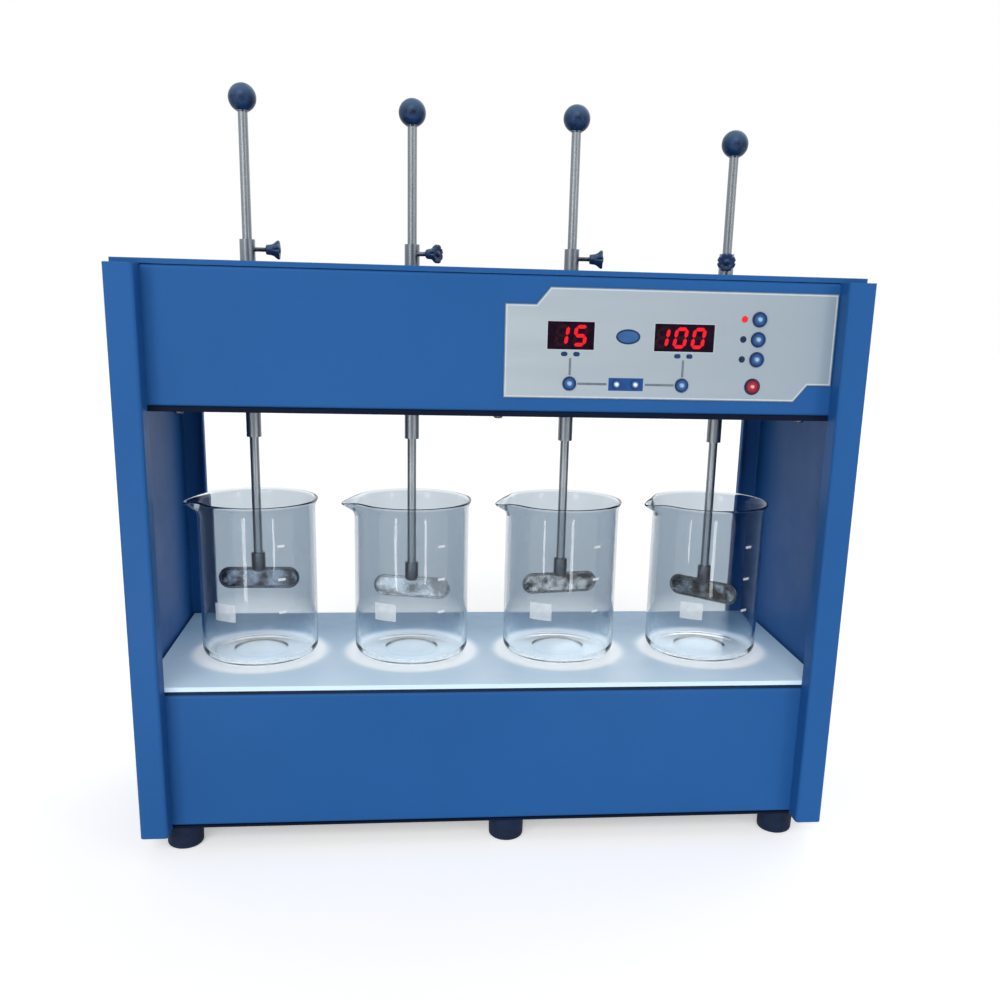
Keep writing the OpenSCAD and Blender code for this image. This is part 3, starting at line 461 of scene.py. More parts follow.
HUB_STEEL = surface("hub_steel", (0.12, 0.13, 0.15), (0.30, 0.44), metal=1.0, vary=0.25, cloud=150)
THREAD_STEEL = surface("thread_steel", (0.20, 0.21, 0.23), (0.22, 0.36), metal=1.0, vary=0.2, cloud=300)
PIN_METAL = surface("pin_metal", (0.62, 0.60, 0.52), (0.15, 0.30), metal=1.0, vary=0.12, cloud=200)
INK_BLOCK = ink("block_ink", (0.014, 0.072, 0.25))
INK_BADGE = ink("badge_ink", (0.040, 0.118, 0.30))
INK_NAVY = ink("navy_ink", (0.013, 0.040, 0.125), 0.15)
# grey of the print, also the painted shadow along the label's edge
GREY_INK_AND_SHADOW = ink("grey_ink_and_shadow", (0.150, 0.190, 0.235), 0.15)
INK_PALE = ink("pale_ink", (0.56, 0.62, 0.67), 0.06)
INK_FRAME = ink("frame_ink", (0.46, 0.52, 0.57), 0.06)
ENAMEL = surface("white_enamel", (0.82, 0.87, 0.91), (0.45, 0.60), vary=0.06, cloud=300, grain=2200,
                 relief=0.02 * MM, alpha=0.80)
FROST = surface("frosted_patch", (0.80, 0.85, 0.89), (0.55, 0.70), vary=0.08, cloud=200, grain=2200,
                relief=0.02 * MM, alpha=0.40)
LIT_RED = glowing("lit_red", (1.0, 0.010, 0.022), 0.95)
DIM_RED = surface("unlit_segment", (0.022, 0.004, 0.010), (0.12, 0.25), vary=0.3, cloud=400)

for node_name, node_object in NODES.items():
    finish = SPINDLE if node_name.startswith("geared_spindle") else FINISH[SLOT_OF[node_name]]
    for material_slot in node_object.material_slots:
        material_slot.material = finish


# Mesh building

SAME_PLACE = 1e-7


def new_object(name, data):
    """A new object in the scene."""
    made = bpy.data.objects.new(name, data)
    SCENE.collection.objects.link(made)
    return made


def make_piece(name, parts, material, body, stands_for=(), origin=(0.0, 0.0, 0.0), sharp=35):
    """A piece from parts, each a list of points and a list of faces. Its own origin may be moved."""
    mesh = bpy.data.meshes.new(name)
    origin = Vector(origin)
    skin = bmesh.new()
    for points, faces in parts:
        corners = [skin.verts.new(Vector(p) - origin) for p in points]
        for face in faces:
            skin.faces.new([corners[i] for i in face])
    bmesh.ops.remove_doubles(skin, verts=skin.verts, dist=SAME_PLACE)
    bmesh.ops.recalc_face_normals(skin, faces=skin.faces)
    skin.to_mesh(mesh)
    skin.free()
    mesh.shade_smooth()
    mesh.set_sharp_from_angle(angle=math.radians(sharp))
    mesh.materials.append(material)
    piece = new_object(name, mesh)
    piece.location = origin
    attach(piece, body)
    if stands_for:
        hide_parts(*stands_for)


def skin_over(rows):
    """Points and quads over closed rows of points, all of one length."""
    count = len(rows[0])
    points = [p for row in rows for p in row]
    faces = []
    for r in range(len(rows) - 1):
        for c in range(count):
            d = (c + 1) % count
            faces.append((r * count + c, r * count + d, (r + 1) * count + d, (r + 1) * count + c))
    return points, faces


def capped(rows):
    """Skin over rows of points, with a face across the first row and one across the last."""
    points, faces = skin_over(rows)
    count = len(rows[0])
    return points, faces + [tuple(range(count)), tuple(range(len(points) - count, len(points)))]


def even_angles(count):
    return [2 * math.pi * i / count for i in range(count)]


def clamp(share):
    return max(0.0, min(1.0, share))


def arc(centre, radius, start, end, steps):
    """Points of an arc as (radius, height) pairs, angles in degrees from outwards to upwards."""
    angles = [math.radians(start + (end - start) * i / steps) for i in range(steps + 1)]
    return [(centre[0] + radius * math.cos(a), centre[1] + radius * math.sin(a)) for a in angles]


def turned(profile, place, angles, push=None):
    """Skin of a profile turned about Z and then placed by a matrix, without faces that shrink to a line.

    A profile point is (radius, height), the radius a number or a function of the angle. push(angle, radius,
    height) gives a moved (radius, height)."""
    def spot(angle, radius, height):
        radius = radius(angle) if callable(radius) else radius
        radius, height = push(angle, radius, height) if push else (radius, height)
        return place @ Vector((radius * math.cos(angle), radius * math.sin(angle), height))

    points, faces = skin_over([[spot(angle, *pair) for angle in angles] for pair in profile])
    return points, [f for f in faces if len({tuple(points[i]) for i in f}) > 2]


def pointing(origin, direction):
    """Matrix that takes +Z to a direction and the origin to a point."""
    turn = Vector(direction).to_track_quat("Z", "Y").to_matrix().to_4x4()
    return Matrix.Translation(origin) @ turn


def plate(outline, front, back):
    """Plate across Y from an outline of (x, z) points."""
    return capped([[(x, y, z) for x, z in outline] for y in (front, back)])


def inset(outline, distance):
    """Outline moved inwards by a distance, for points that run counterclockwise."""
    moved = []
    count = len(outline)
    for i in range(count):
        before, here, after = (Vector(outline[(i + k) % count]) for k in (-1, 0, 1))
        first = (here - before).normalized()
        second = (after - here).normalized()
        normal = Vector((-first.y - second.y, first.x + second.x)).normalized()
        moved.append(here + normal * distance / normal.dot(Vector((-first.y, first.x))))
    return [tuple(p) for p in moved]


def rounded_box(centre, width, height, radius, steps=4):
    """Counterclockwise outline of (x, z) points with rounded corners."""
    outline = []
    for turn, side_x, side_z in ((0, 1, 1), (90, -1, 1), (180, -1, -1), (270, 1, -1)):
        corner = (centre[0] + side_x * (width / 2 - radius), centre[1] + side_z * (height / 2 - radius))
        outline += arc(corner, radius, turn, turn + 90, steps)
    return outline


def oval(centre, width, height, steps=40):
    return [(centre[0] + width / 2 * math.cos(a), centre[1] + height / 2 * math.sin(a))
            for a in even_angles(steps)]


# Ball knobs: a sphere with a flat under it and a steel insert round the rod

BALL_R = size("ball_knob_1").x / 2
BALL_FLAT_R, BALL_BORE_L, BALL_CHAMFER = mm(5.6, 9, 0.3)
BORE_R = size("stirring_rod_1").x / 2 + 0.05 * MM
INSERT_RING = in_mm(((0, 2.0), (0, -0.5), (0.2, -0.7), (1.0, -0.7), (1.2, -0.5), (1.2, 2.0)))


def ball_knob(n):
    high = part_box(f"ball_knob_{n}")[1]
    axis = middle(f"ball_knob_{n}")
    place = Matrix.Translation((axis.x, axis.y, high.z - BALL_R))
    start = -math.degrees(math.acos(BALL_FLAT_R / BALL_R))
    flat_z = BALL_R * math.sin(math.radians(start))
    profile = [(BORE_R, flat_z + BALL_BORE_L), (BORE_R, flat_z + BALL_CHAMFER),
               (BORE_R + BALL_CHAMFER, flat_z)] + arc((0, 0), BALL_R, start, 90, 40)
    knob = turned(profile, place, even_angles(64))
    make_piece(f"ball_knob_{n}_ball", [knob], FINISH["black_plastic"], f"rod_{n}",
               [f"ball_knob_{n}"])
    insert = [(BORE_R + w, flat_z + h) for w, h in INSERT_RING]
    make_piece(f"ball_knob_{n}_insert", [turned(insert, place, even_angles(48))], THREAD_STEEL, f"rod_{n}")


# Thumbscrews: a fluted bell-shaped knob on a threaded shank

SHANK_START, KNOB_START, SHANK_IN_KNOB = mm(4.4, 15.5, 1.5)
KNOB_R = size("thumbscrew_1").z / 2
KNOB_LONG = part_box("thumbscrew_1")[1].x - middle("stirring_rod_1").x - KNOB_START
SCREW_R, THREAD_PITCH, THREAD_DEPTH = mm(2, 0.7, 0.38)
THREAD_STEPS = 6
FLUTES = 8
FLUTE_DEPTH = 1.1 * MM

# Where the flutes begin and over what run they deepen, along the knob and across it, as shares
FLUTE_ALONG, FLUTE_ALONG_RUN = 0.40, 0.31
FLUTE_ACROSS, FLUTE_ACROSS_RUN = 0.52, 0.24

KNOB_SHARES = (
    (0, 0.06), (0.27, 0.06), (0.29, 0.02), (0.40, 0.0), (0.47, 0.02), (0.51, 0.06), (0.53, 0.18),
    (0.56, 0.33), (0.61, 0.45), (0.71, 0.57), (0.85, 0.67), (0.94, 0.74), (0.99, 0.80), (1.0, 0.86),
    (0.97, 0.91), (0.89, 0.93), (0.76, 0.93), (0.50, 0.90), (0.34, 0.90), (0.32, 0.96), (0.26, 0.99),
    (0, 1.0),
)
KNOB_PROFILE = [(radius * KNOB_R, height * KNOB_LONG) for radius, height in KNOB_SHARES]


def flute(angle, radius, height):
    """Grooves round the wide end of the knob."""
    along = clamp((height / KNOB_LONG - FLUTE_ALONG) / FLUTE_ALONG_RUN)
    across = clamp((radius / KNOB_R - FLUTE_ACROSS) / FLUTE_ACROSS_RUN)
    groove = max(0.0, math.cos(FLUTES * angle)) ** 2
    return radius - FLUTE_DEPTH * (along * across) * groove, height


def thread(place, start, end):
    """Skin of a threaded shank between two heights, closed at its ends."""
    rise = THREAD_PITCH / THREAD_STEPS
    heights = [start + i * rise for i in range(int((end - start) / rise) + 1)]

    def groove(angle, radius, height):
        phase = ((height - start) / THREAD_PITCH - angle / (2 * math.pi)) % 1.0
        return (radius - THREAD_DEPTH * abs(2 * phase - 1) if radius else 0.0), height

    profile = [(0.0, heights[0])] + [(SCREW_R, height) for height in heights] + [(0.0, heights[-1])]
    return turned(profile, place, even_angles(24), groove)


def thumbscrew(n):
    rod = middle(f"stirring_rod_{n}")
    place = pointing((rod.x, rod.y, middle(f"thumbscrew_{n}").z), AXIS_OF[f"thumbscrew_{n}_turn"])
    knob_at = place @ Matrix.Translation((0, 0, KNOB_START))
    knob = turned(KNOB_PROFILE, knob_at, even_angles(96), flute)
    make_piece(f"thumbscrew_{n}_knob", [knob], FINISH["black_plastic"], f"thumbscrew_{n}",
               [f"thumbscrew_{n}"], sharp=50)
    shank = thread(place, SHANK_START, KNOB_START + SHANK_IN_KNOB)
    make_piece(f"thumbscrew_{n}_shank", [shank], THREAD_STEEL, f"thumbscrew_{n}")


# Paddles: a plate in a rolled rim, its hub and a set screw

HUB_R, HUB_UP = mm(6.25, 24)
BLADE_L = size("paddle_1").x
BLADE_H = 2 * (size("paddle_1").z - HUB_UP)
PADDLE_TURN = {1: 0, 2: -15, 3: 10, 4: -45}
RIM_SIDE = in_mm(((0.0, 0.45), (0.12, 0.85), (0.45, 1.22), (0.95, 1.45), (1.5, 1.45), (2.0, 1.25),
                  (2.4, 0.95), (2.7, 0.4)))
WEB_T, WEB_INSET = mm(1.4, 2.2)
HUB_FOOT = BLADE_H / 2 - 3.2 * MM
HUB_FLOOR = HUB_FOOT + 3.4 * MM
HUB_PROFILE = [
    (0, HUB_FOOT), (4.6 * MM, HUB_FOOT), (5.6 * MM, HUB_FOOT + 0.9 * MM), (HUB_R, HUB_FOOT + 2.4 * MM),
    (HUB_R, HUB_UP - 0.8 * MM), (HUB_R - 0.25 * MM, HUB_UP - 0.25 * MM), (HUB_R - 0.8 * MM, HUB_UP),
    (BORE_R + 0.4 * MM, HUB_UP), (BORE_R, HUB_UP - 0.4 * MM), (BORE_R, HUB_FLOOR), (0, HUB_FLOOR),
]
SET_SCREW_UP = 17.5 * MM
SET_SCREW_END = HUB_R + 0.35 * MM
SET_SCREW_SIDE = in_mm(((0, -2), (1.6, -2), (1.6, -0.2), (1.4, 0)))
SOCKET_R, SOCKET_DEPTH, SOCKET_TIP = mm(0.8, 1.0, 1.2)
SOCKET_ANGLES = [math.pi / 3 * i + math.pi / 12 * k for i in range(6) for k in range(4)]


def stadium(inwards, steps=16):
    """Outline of the blade, moved inwards."""
    radius = BLADE_H / 2 - inwards
    half = (BLADE_L - BLADE_H) / 2
    return arc((half, 0), radius, -90, 90, steps) + arc((-half, 0), radius, 90, 270, steps)


def hexagon(angle):
    """Radius of a six-sided socket at an angle."""
    return SOCKET_R / math.cos((angle + math.pi / 6) % (math.pi / 3) - math.pi / 6)


def paddle(n):
    body = f"rod_{n}"
    rod = middle(f"stirring_rod_{n}")
    upright = Matrix.Translation((rod.x, rod.y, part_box(f"paddle_{n}")[1].z - HUB_UP))
    place = upright @ Matrix.Rotation(math.radians(PADDLE_TURN[n]), 4, "Z")
    section = RIM_SIDE + [(inwards, -side) for inwards, side in reversed(RIM_SIDE)]
    rows = [[place @ Vector((x, side, z)) for x, z in stadium(inwards)] for inwards, side in section]
    make_piece(f"paddle_{n}_rim", [skin_over(rows + rows[:1])], RIM_STEEL[n], body)
    points, faces = plate(stadium(WEB_INSET), -WEB_T / 2, WEB_T / 2)
    web = ([place @ Vector(p) for p in points], faces)
    make_piece(f"paddle_{n}_blade", [web], BLADE_STEEL[n], body, [f"paddle_{n}"])
    hub = turned(HUB_PROFILE, upright, even_angles(48))
    make_piece(f"paddle_{n}_hub", [hub], HUB_STEEL, body)
    profile = [(r, SET_SCREW_END + h) for r, h in SET_SCREW_SIDE]
    profile += [(hexagon, SET_SCREW_END), (hexagon, SET_SCREW_END - SOCKET_DEPTH),
                (0, SET_SCREW_END - SOCKET_TIP)]
    facing = pointing(place @ Vector((0, 0, SET_SCREW_UP)), place.to_3x3() @ Vector((0, -1, 0)))
    set_screw = turned(profile, facing, SOCKET_ANGLES)
    make_piece(f"paddle_{n}_set_screw", [set_screw], THREAD_STEEL, body)


# Beakers: thin glass with a rolled rim, a pulled spout and a pushed-up base, and white marks

BEAKER_R = 52.5 * MM
BEAKER_H = size("beaker_1").z
GLASS_T, BASE_T, HEEL_R = mm(2.2, 2.6, 8)
SPOUT_TURN = math.radians(188)
SPOUT_SPREAD = math.radians(13)
SPOUT_REACH, SPOUT_DEPTH, SPOUT_DROP = mm(9.5, 14, 3)
PINCH_TURN = 2.3 * SPOUT_SPREAD
PINCH_SPREAD = 0.8 * SPOUT_SPREAD
PINCH_DEPTH = 0.9 * MM
MARK_LIFTS = mm(0.02, 0.14)
PATCH_TURN = math.radians(243)
PATCH_SIZE = mm(50, 21, 16)
TICK_TURN = math.radians(300)
TICK_SIZES = [mm(height, 7, 2.2) for height in (50, 80, 110)]
RIM_PROFILE = in_mm((
    (0.1, -9.0), (0.5, -6.5), (1.1, -4.4), (1.8, -2.6), (2.3, -1.5), (2.4, -0.7), (2.0, -0.12), (1.2, 0.0),
    (0.5, -0.3), (-0.1, -1.4), (-0.8, -3.2), (-1.5, -5.6), (-2.0, -8.5), (-2.2, -12.0),
))
FLOOR_DOME = in_mm(((24, 0.1), (0, 0.3)))
PUNT_PROFILE = in_mm(((0, 1.5), (19, 1.45), (22, 1.3), (23.5, 0.9), (24.5, 0.5), (26, 0.35), (39, 0.3),
                      (42, 0.0)))
WALL_HEIGHTS = (30, 60, 90, 115, 120, 125, 130, 133)


def spout(angle, radius, height):
    """Pulls the rim out and down into a spout, and pinches it in on both sides."""
    away = (angle - SPOUT_TURN + math.pi) % (2 * math.pi) - math.pi
    rise = clamp((height - BEAKER_H + SPOUT_DEPTH) / SPOUT_DEPTH)
    lift = rise * rise * (3 - 2 * rise)
    lip = math.exp(-((away / SPOUT_SPREAD) ** 2))
    pinch = math.exp(-(((abs(away) - PINCH_TURN) / PINCH_SPREAD) ** 2))
    return radius + lift * (SPOUT_REACH * lip - PINCH_DEPTH * pinch), height - lift * lip * SPOUT_DROP


def on_wall(place, outline, turn):
    """Thin shell on the beaker's wall, over an outline of (width, height) points about an angle."""
    rows = []
    for lift in MARK_LIFTS:
        r = BEAKER_R + lift
        rows.append([place @ Vector((r * math.cos(turn + w / r), r * math.sin(turn + w / r), h))
                     for w, h in outline])
    points, faces = skin_over(rows)
    count = len(outline)
    for base in (0, count):
        for i in range(count // 2 - 1):
            faces.append((base + i, base + i + 1, base + count - 2 - i, base + count - 1 - i))
    return points, faces


def wall_box(height, wide, tall, steps=8):
    """Outline of a box about a height, divided along its width so that it can follow the wall."""
    across = [wide * (i / steps - 0.5) for i in range(steps + 1)]
    return [(w, height - tall / 2) for w in across] + [(w, height + tall / 2) for w in reversed(across)]


def beaker(n):
    body = f"beaker_{n}"
    rod = middle(f"stirring_rod_{n}")
    place = Matrix.Translation((rod.x, rod.y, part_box(body)[0].z))
    inner = BEAKER_R - GLASS_T
    profile = PUNT_PROFILE + arc((BEAKER_R - HEEL_R, HEEL_R), HEEL_R, -82, 0, 8)
    profile += [(BEAKER_R, h * MM) for h in WALL_HEIGHTS]
    profile += [(BEAKER_R + w, BEAKER_H + h) for w, h in RIM_PROFILE]
    profile += [(inner, h * MM) for h in reversed(WALL_HEIGHTS[:-1])]
    profile += arc((inner - HEEL_R, BASE_T + HEEL_R), HEEL_R, 0, -90, 8)
    profile += [(r, BASE_T + h) for r, h in FLOOR_DOME]
    vessel = turned(profile, place, even_angles(120), spout)
    make_piece(f"beaker_{n}_glass", [vessel], FINISH["beaker_glass"], body, [body], sharp=60)
    patch = on_wall(place, wall_box(*PATCH_SIZE), PATCH_TURN)
    make_piece(f"beaker_{n}_patch", [patch], FROST, body)
    ticks = [on_wall(place, wall_box(*tick), TICK_TURN) for tick in TICK_SIZES]
    make_piece(f"beaker_{n}_ticks", ticks, ENAMEL, body)


for stirrer in STIRRERS:
    ball_knob(stirrer)
    thumbscrew(stirrer)
    paddle(stirrer)
    beaker(stirrer)


# Keys: a dished cap with a rounded edge, its collar and its stem

KEYS = ("mode_key_1", "mode_key_2", "mode_key_3", "power_key", "time_set_key", "speed_set_key", "down_key",
        "up_key")
COLLAR_OUT, COLLAR_T, STEM_R = mm(1, 1.2, 1.5)
CAP_LONG, CAP_EDGE = mm(5.9, 0.7)
DISH_LIP, DISH_DEPTH = mm(0.4, 0.55)
DISH_STEPS = 8


def cap_radius(name):
    return size(name).x / 2 - COLLAR_OUT


def key(name):
    radius = cap_radius(name)
    long = size(name).y
    centre = middle(name)
    centre.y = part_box(name)[0].y
    place = pointing(centre + Vector((0, long, 0)), (0, -1, 0))
    collar = long - CAP_LONG
    profile = [(0, 0), (STEM_R, 0), (STEM_R, collar), (radius + COLLAR_OUT, collar),
               (radius + COLLAR_OUT, collar + COLLAR_T), (radius, collar + COLLAR_T)]
    profile += arc((radius - CAP_EDGE, long - CAP_EDGE), CAP_EDGE, 0, 90, 6)
    dish = radius - CAP_EDGE - DISH_LIP
    shares = [1 - i / DISH_STEPS for i in range(DISH_STEPS + 1)]
    profile += [(dish * share, long - DISH_DEPTH * (1 - share ** 2)) for share in shares]
    slot = SLOT_OF[name]
    make_piece(f"{name}_cap", [turned(profile, place, even_angles(48))], FINISH[slot], name, [name],
               origin=centre)


for key_name in KEYS:
    key(key_name)


# Indicator lamps: a round lens on a lead-through, the top one lit

LENS_DOME = 0.8 * MM


def indicator_lamp(index, box):
    low, high = box
    radius = (high.x - low.x) / 2
    long = high.y - low.y
    centre = box_middle(box)
    centre.y = high.y
    ball = (radius ** 2 + LENS_DOME ** 2) / (2 * LENS_DOME)
    start = math.degrees(math.asin((ball - LENS_DOME) / ball))
    profile = [(0, 0), (radius, 0), (radius, long - LENS_DOME)]
    profile += arc((0, long - ball), ball, start, 90, 8)[1:]
    piece = turned(profile, pointing(centre, (0, -1, 0)), even_angles(32))
    make_piece(f"indicator_lamp_{index + 1}", [piece], FINISH["lamp_red"] if index else LIT_RED, CASING,
               ["indicator_lamps"])


for lamp_index, lamp_box in enumerate(sorted(solids("indicator_lamps"), key=lambda box: -box[0].z)):
    indicator_lamp(lamp_index, lamp_box)


# Displays: thin seven-segment figures on the two windows

SEGMENTS = {"0": "abcdef", "1": "bc", "5": "acdfg"}

# Ends of each segment, in figure widths and half heights
SEGMENT_ENDS = {"a": ((0, 2), (1, 2)), "b": ((1, 1), (1, 2)), "c": ((1, 0), (1, 1)), "d": ((0, 0), (1, 0)),
                "e": ((0, 0), (0, 1)), "f": ((0, 1), (0, 2)), "g": ((0, 1), (1, 1))}
FIGURE_W, FIGURE_H, FIGURE_PITCH = mm(11.1, 17, 14.9)
STROKE = 2.9 * MM
SLANT = math.tan(math.radians(9))
FIGURE_OUT, UNLIT_BACK = mm(0.12, 0.02)
SEGMENT_T, SEGMENT_GAP = mm(0.1, 0.2)


def segment(letter, corner, front):
    """One bar with pointed ends, leaning to the right."""
    point = STROKE / 2
    first, last = (Vector((x * (FIGURE_W - STROKE), z * (FIGURE_H - STROKE) / 2))
                   for x, z in SEGMENT_ENDS[letter])
    ahead = (last - first).normalized()
    first, last = first + ahead * SEGMENT_GAP, last - ahead * SEGMENT_GAP
    run, side = ahead * point, ahead.yx * point
    outline = [first, first + run - side, last - run - side, last, last - run + side, first + run + side]
    placed = [(corner[0] + point + p.x + SLANT * p.y, corner[1] + point + p.y) for p in outline]
    return plate(placed, front, front + SEGMENT_T)


def display(name, box, figures, last_at):
    """Figures on a window, the last one's middle at a share of the window's width."""
    low, high = box
    front = low.y - FIGURE_OUT
    start = low.x + last_at * (high.x - low.x) - (FIGURE_W + SLANT * FIGURE_H) / 2
    base = (low.z + high.z - FIGURE_H) / 2
    lit, dim = [], []
    for place, figure in enumerate(reversed(figures)):
        corner = (start - place * FIGURE_PITCH, base)
        for letter in "abcdefg":
            if letter in SEGMENTS[figure]:
                lit.append(segment(letter, corner, front))
            else:
                dim.append(segment(letter, corner, front + UNLIT_BACK))
    make_piece(f"{name}_figures", lit, LIT_RED, CASING)
    make_piece(f"{name}_unlit", dim, DIM_RED, CASING)


time_window, speed_window = solids("displays")
display("time_display", time_window, "15", 0.71)
display("speed_display", speed_window, "100", 0.745)


# Print on the control label, and a painted shadow along its edge

PRINT_FRONT = LABEL_LOW.y - 0.06 * MM
PRINT_BACK = LABEL_LOW.y + 0.02 * MM
UPPER_STEP, LOWER_STEP = mm(25, 20)
STEP_H, STEP_SLOPE = mm(13.5, 11)
LINE_W, LINE_TO_KEY, LINE_TO_BLOCK, LINE_TO_WINDOW = mm(1.9, 1.2, 1.5, 7)
BLOCK_W, BLOCK_H, BLOCK_HOLE_GAP = mm(28.7, 10.3, 0.2)
DOT_SHIFTS = mm(-5, 5)
DOT_DOWN = 3.8 * MM
DOT_SIZE = mm(5.4, 3.6, 1.7)
BADGE_AT = 0.56
BADGE_SIZE = mm(20, 12)
BADGE_FACE = mm(17, 9)
BADGE_LIFT = 0.03 * MM
FRAME_EDGES = in_mm(((2.0, 1.1), (0.5, 0.3)))
RING_GAP, RING_W = mm(0.4, 2.2)
NO_RUN = 1e-9


def print_piece(name, parts, tint):
    make_piece(name, parts, tint, CASING)


def flat_print(outline, lift=0.0):
    return plate(outline, PRINT_FRONT - lift, PRINT_BACK)


def strip_print(outer, inner):
    """Closed strip between two outlines with as many points."""
    rows = [[(x, y, z) for x, z in line] for line, y in
            ((outer, PRINT_FRONT), (inner, PRINT_FRONT), (inner, PRINT_BACK), (outer, PRINT_BACK))]
    return skin_over(rows + rows[:1])


def bar(x0, z0, x1, z1):
    """Outline of a straight level or upright line."""
    wide_x = LINE_W / 2 if x0 == x1 else 0.0
    wide_z = LINE_W / 2 if z0 == z1 else 0.0
    left, right = min(x0, x1) - wide_x, max(x0, x1) + wide_x
    low, high = min(z0, z1) - wide_z, max(z0, z1) + wide_z
    return [(left, low), (right, low), (right, high), (left, high)]


def print_border():
    """Painted shadow along the label's stepped outline, and a pale line inside it."""
    x0, z0, x1, z1 = LABEL_LOW.x, LABEL_LOW.z, LABEL_HIGH.x, LABEL_HIGH.z
    outline = [(x0, z0), (x1 - LOWER_STEP - STEP_SLOPE, z0), (x1 - LOWER_STEP, z0 + STEP_H),
               (x1, z0 + STEP_H), (x1, z1), (x0 + UPPER_STEP + STEP_SLOPE, z1),
               (x0 + UPPER_STEP, z1 - STEP_H), (x0, z1 - STEP_H)]
    # the dark edge strip is a painted shadow, in the grey of the print
    strips = (("label_edge_shadow", 0.05, 0.6, GREY_INK_AND_SHADOW), ("label_border", 0.9, 1.9, INK_PALE))
    for name, start, end, tint in strips:
        print_piece(name, [strip_print(inset(outline, start * MM), inset(outline, end * MM))], tint)


def ray_to_box(place, angle, left, right, low, high):
    """Where a ray from a point inside a box leaves it."""
    ray = Vector((math.cos(angle), math.sin(angle)))
    reaches = [((right if ray.x > 0 else left) - place.x) / ray.x if abs(ray.x) > NO_RUN else math.inf,
               ((high if ray.y > 0 else low) - place.z) / ray.y if abs(ray.y) > NO_RUN else math.inf]
    return place.x + ray.x * min(reaches), place.z + ray.y * min(reaches)


def print_key_block(pair):
    """Block round the two small keys, with a round hole for each. Its halves join without a wall."""
    parts = []
    for name, side in (("down_key", -1), ("up_key", 1)):
        place = middle(name)
        hole = cap_radius(name) + BLOCK_HOLE_GAP
        left, right = sorted((pair.x, pair.x + side * BLOCK_W / 2))
        low, high = pair.z - BLOCK_H / 2, pair.z + BLOCK_H / 2
        corners = [math.atan2(z - place.z, x - place.x) for x in (left, right) for z in (low, high)]
        angles = sorted(even_angles(48) + [angle % (2 * math.pi) for angle in corners])
        outer = [ray_to_box(place, a, left, right, low, high) for a in angles]
        inner = [(place.x + hole * math.cos(a), place.z + hole * math.sin(a)) for a in angles]
        points, faces = strip_print(outer, inner)
        off_seam = [abs(x - pair.x) > SAME_PLACE for x, _, _ in points]
        parts.append((points, [f for f in faces if any(off_seam[i] for i in f)]))
    print_piece("key_pair_block", parts, INK_BLOCK)


def print_lines(pair):
    """Lines from each set key up to its window and across to the block, and a pair of dots at the window."""
    lines, dots = [], []
    for set_key, window in (("time_set_key", time_window), ("speed_set_key", speed_window)):
        place = middle(set_key)
        reach = cap_radius(set_key) + LINE_TO_KEY
        side = 1 if place.x < pair.x else -1
        end = pair.x - side * (BLOCK_W / 2 + LINE_TO_BLOCK)
        lines.append(bar(place.x, place.z + reach, place.x, window[0].z - LINE_TO_WINDOW))
        lines.append(bar(place.x + side * reach, place.z, end, place.z))
        for shift in DOT_SHIFTS:
            dot_at = (box_middle(window).x + shift, window[0].z - DOT_DOWN)
            dots.append(rounded_box(dot_at, *DOT_SIZE))
    print_piece("label_lines", [flat_print(line) for line in lines], GREY_INK_AND_SHADOW)
    print_piece("label_dots", [flat_print(dot) for dot in dots], INK_NAVY)


def print_badge():
    """Oval badge between the windows, with a dark outline."""
    left, right = time_window[1].x, speed_window[0].x
    place = (left + BADGE_AT * (right - left), box_middle(time_window).z)
    print_piece("label_badge", [flat_print(oval(place, *BADGE_SIZE))], INK_NAVY)
    print_piece("label_badge_face", [flat_print(oval(place, *BADGE_FACE), BADGE_LIFT)], INK_BADGE)


def print_rings():
    """Frames round the windows and a dark ring round the power key."""
    frames = []
    for low, high in (time_window, speed_window):
        centre = box_middle((low, high)).xz
        wide, tall = high.x - low.x, high.z - low.z
        frames.append(strip_print(*[rounded_box(centre, wide + more, tall + more, radius)
                                    for more, radius in FRAME_EDGES]))
    print_piece("display_frames", frames, INK_FRAME)
    centre = middle("power_key").xz
    inner = 2 * cap_radius("power_key") + RING_GAP
    outer = inner + RING_W
    ring = strip_print(oval(centre, outer, outer), oval(centre, inner, inner))
    print_piece("power_key_ring", [ring], INK_NAVY)


key_pair = (middle("down_key") + middle("up_key")) / 2
print_border()
print_key_block(key_pair)
print_lines(key_pair)
print_badge()
print_rings()


# Casing screws: pan heads with a cross recess

CROSS_L, CROSS_W = mm(2.2, 0.55)
CROSS_TURN = math.degrees(math.atan(CROSS_W / CROSS_L))
CROSS_ANGLES = [math.radians(90 * quarter + part) for quarter in range(4)
                for part in (0, CROSS_TURN, 30, 45, 60, 90 - CROSS_TURN)]
CROSS_LIP = 0.15 * MM
CROSS_TAPER = 0.86
RECESS = 0.7 * MM
HEAD_T = 2.2 * MM
HEAD_CURVE = ((1.0, -HEAD_T), (1.0, -HEAD_T + 0.7 * MM), (0.97, -1.0 * MM), (0.88, -0.5 * MM),
              (0.76, -0.18 * MM))
CASING_SHANK_R, CASING_TIP_R, CASING_TIP_L = mm(2, 1.6, 0.5)


def cross(angle):
    """Radius of the cross recess at an angle."""
    part = angle % (math.pi / 2)
    part = min(part, math.pi / 2 - part)
    in_arm = math.tan(part) <= CROSS_W / CROSS_L + NO_RUN
    return CROSS_L / math.cos(part) if in_arm else CROSS_W / math.sin(part)


def cross_floor(angle):
    return CROSS_TAPER * cross(angle)


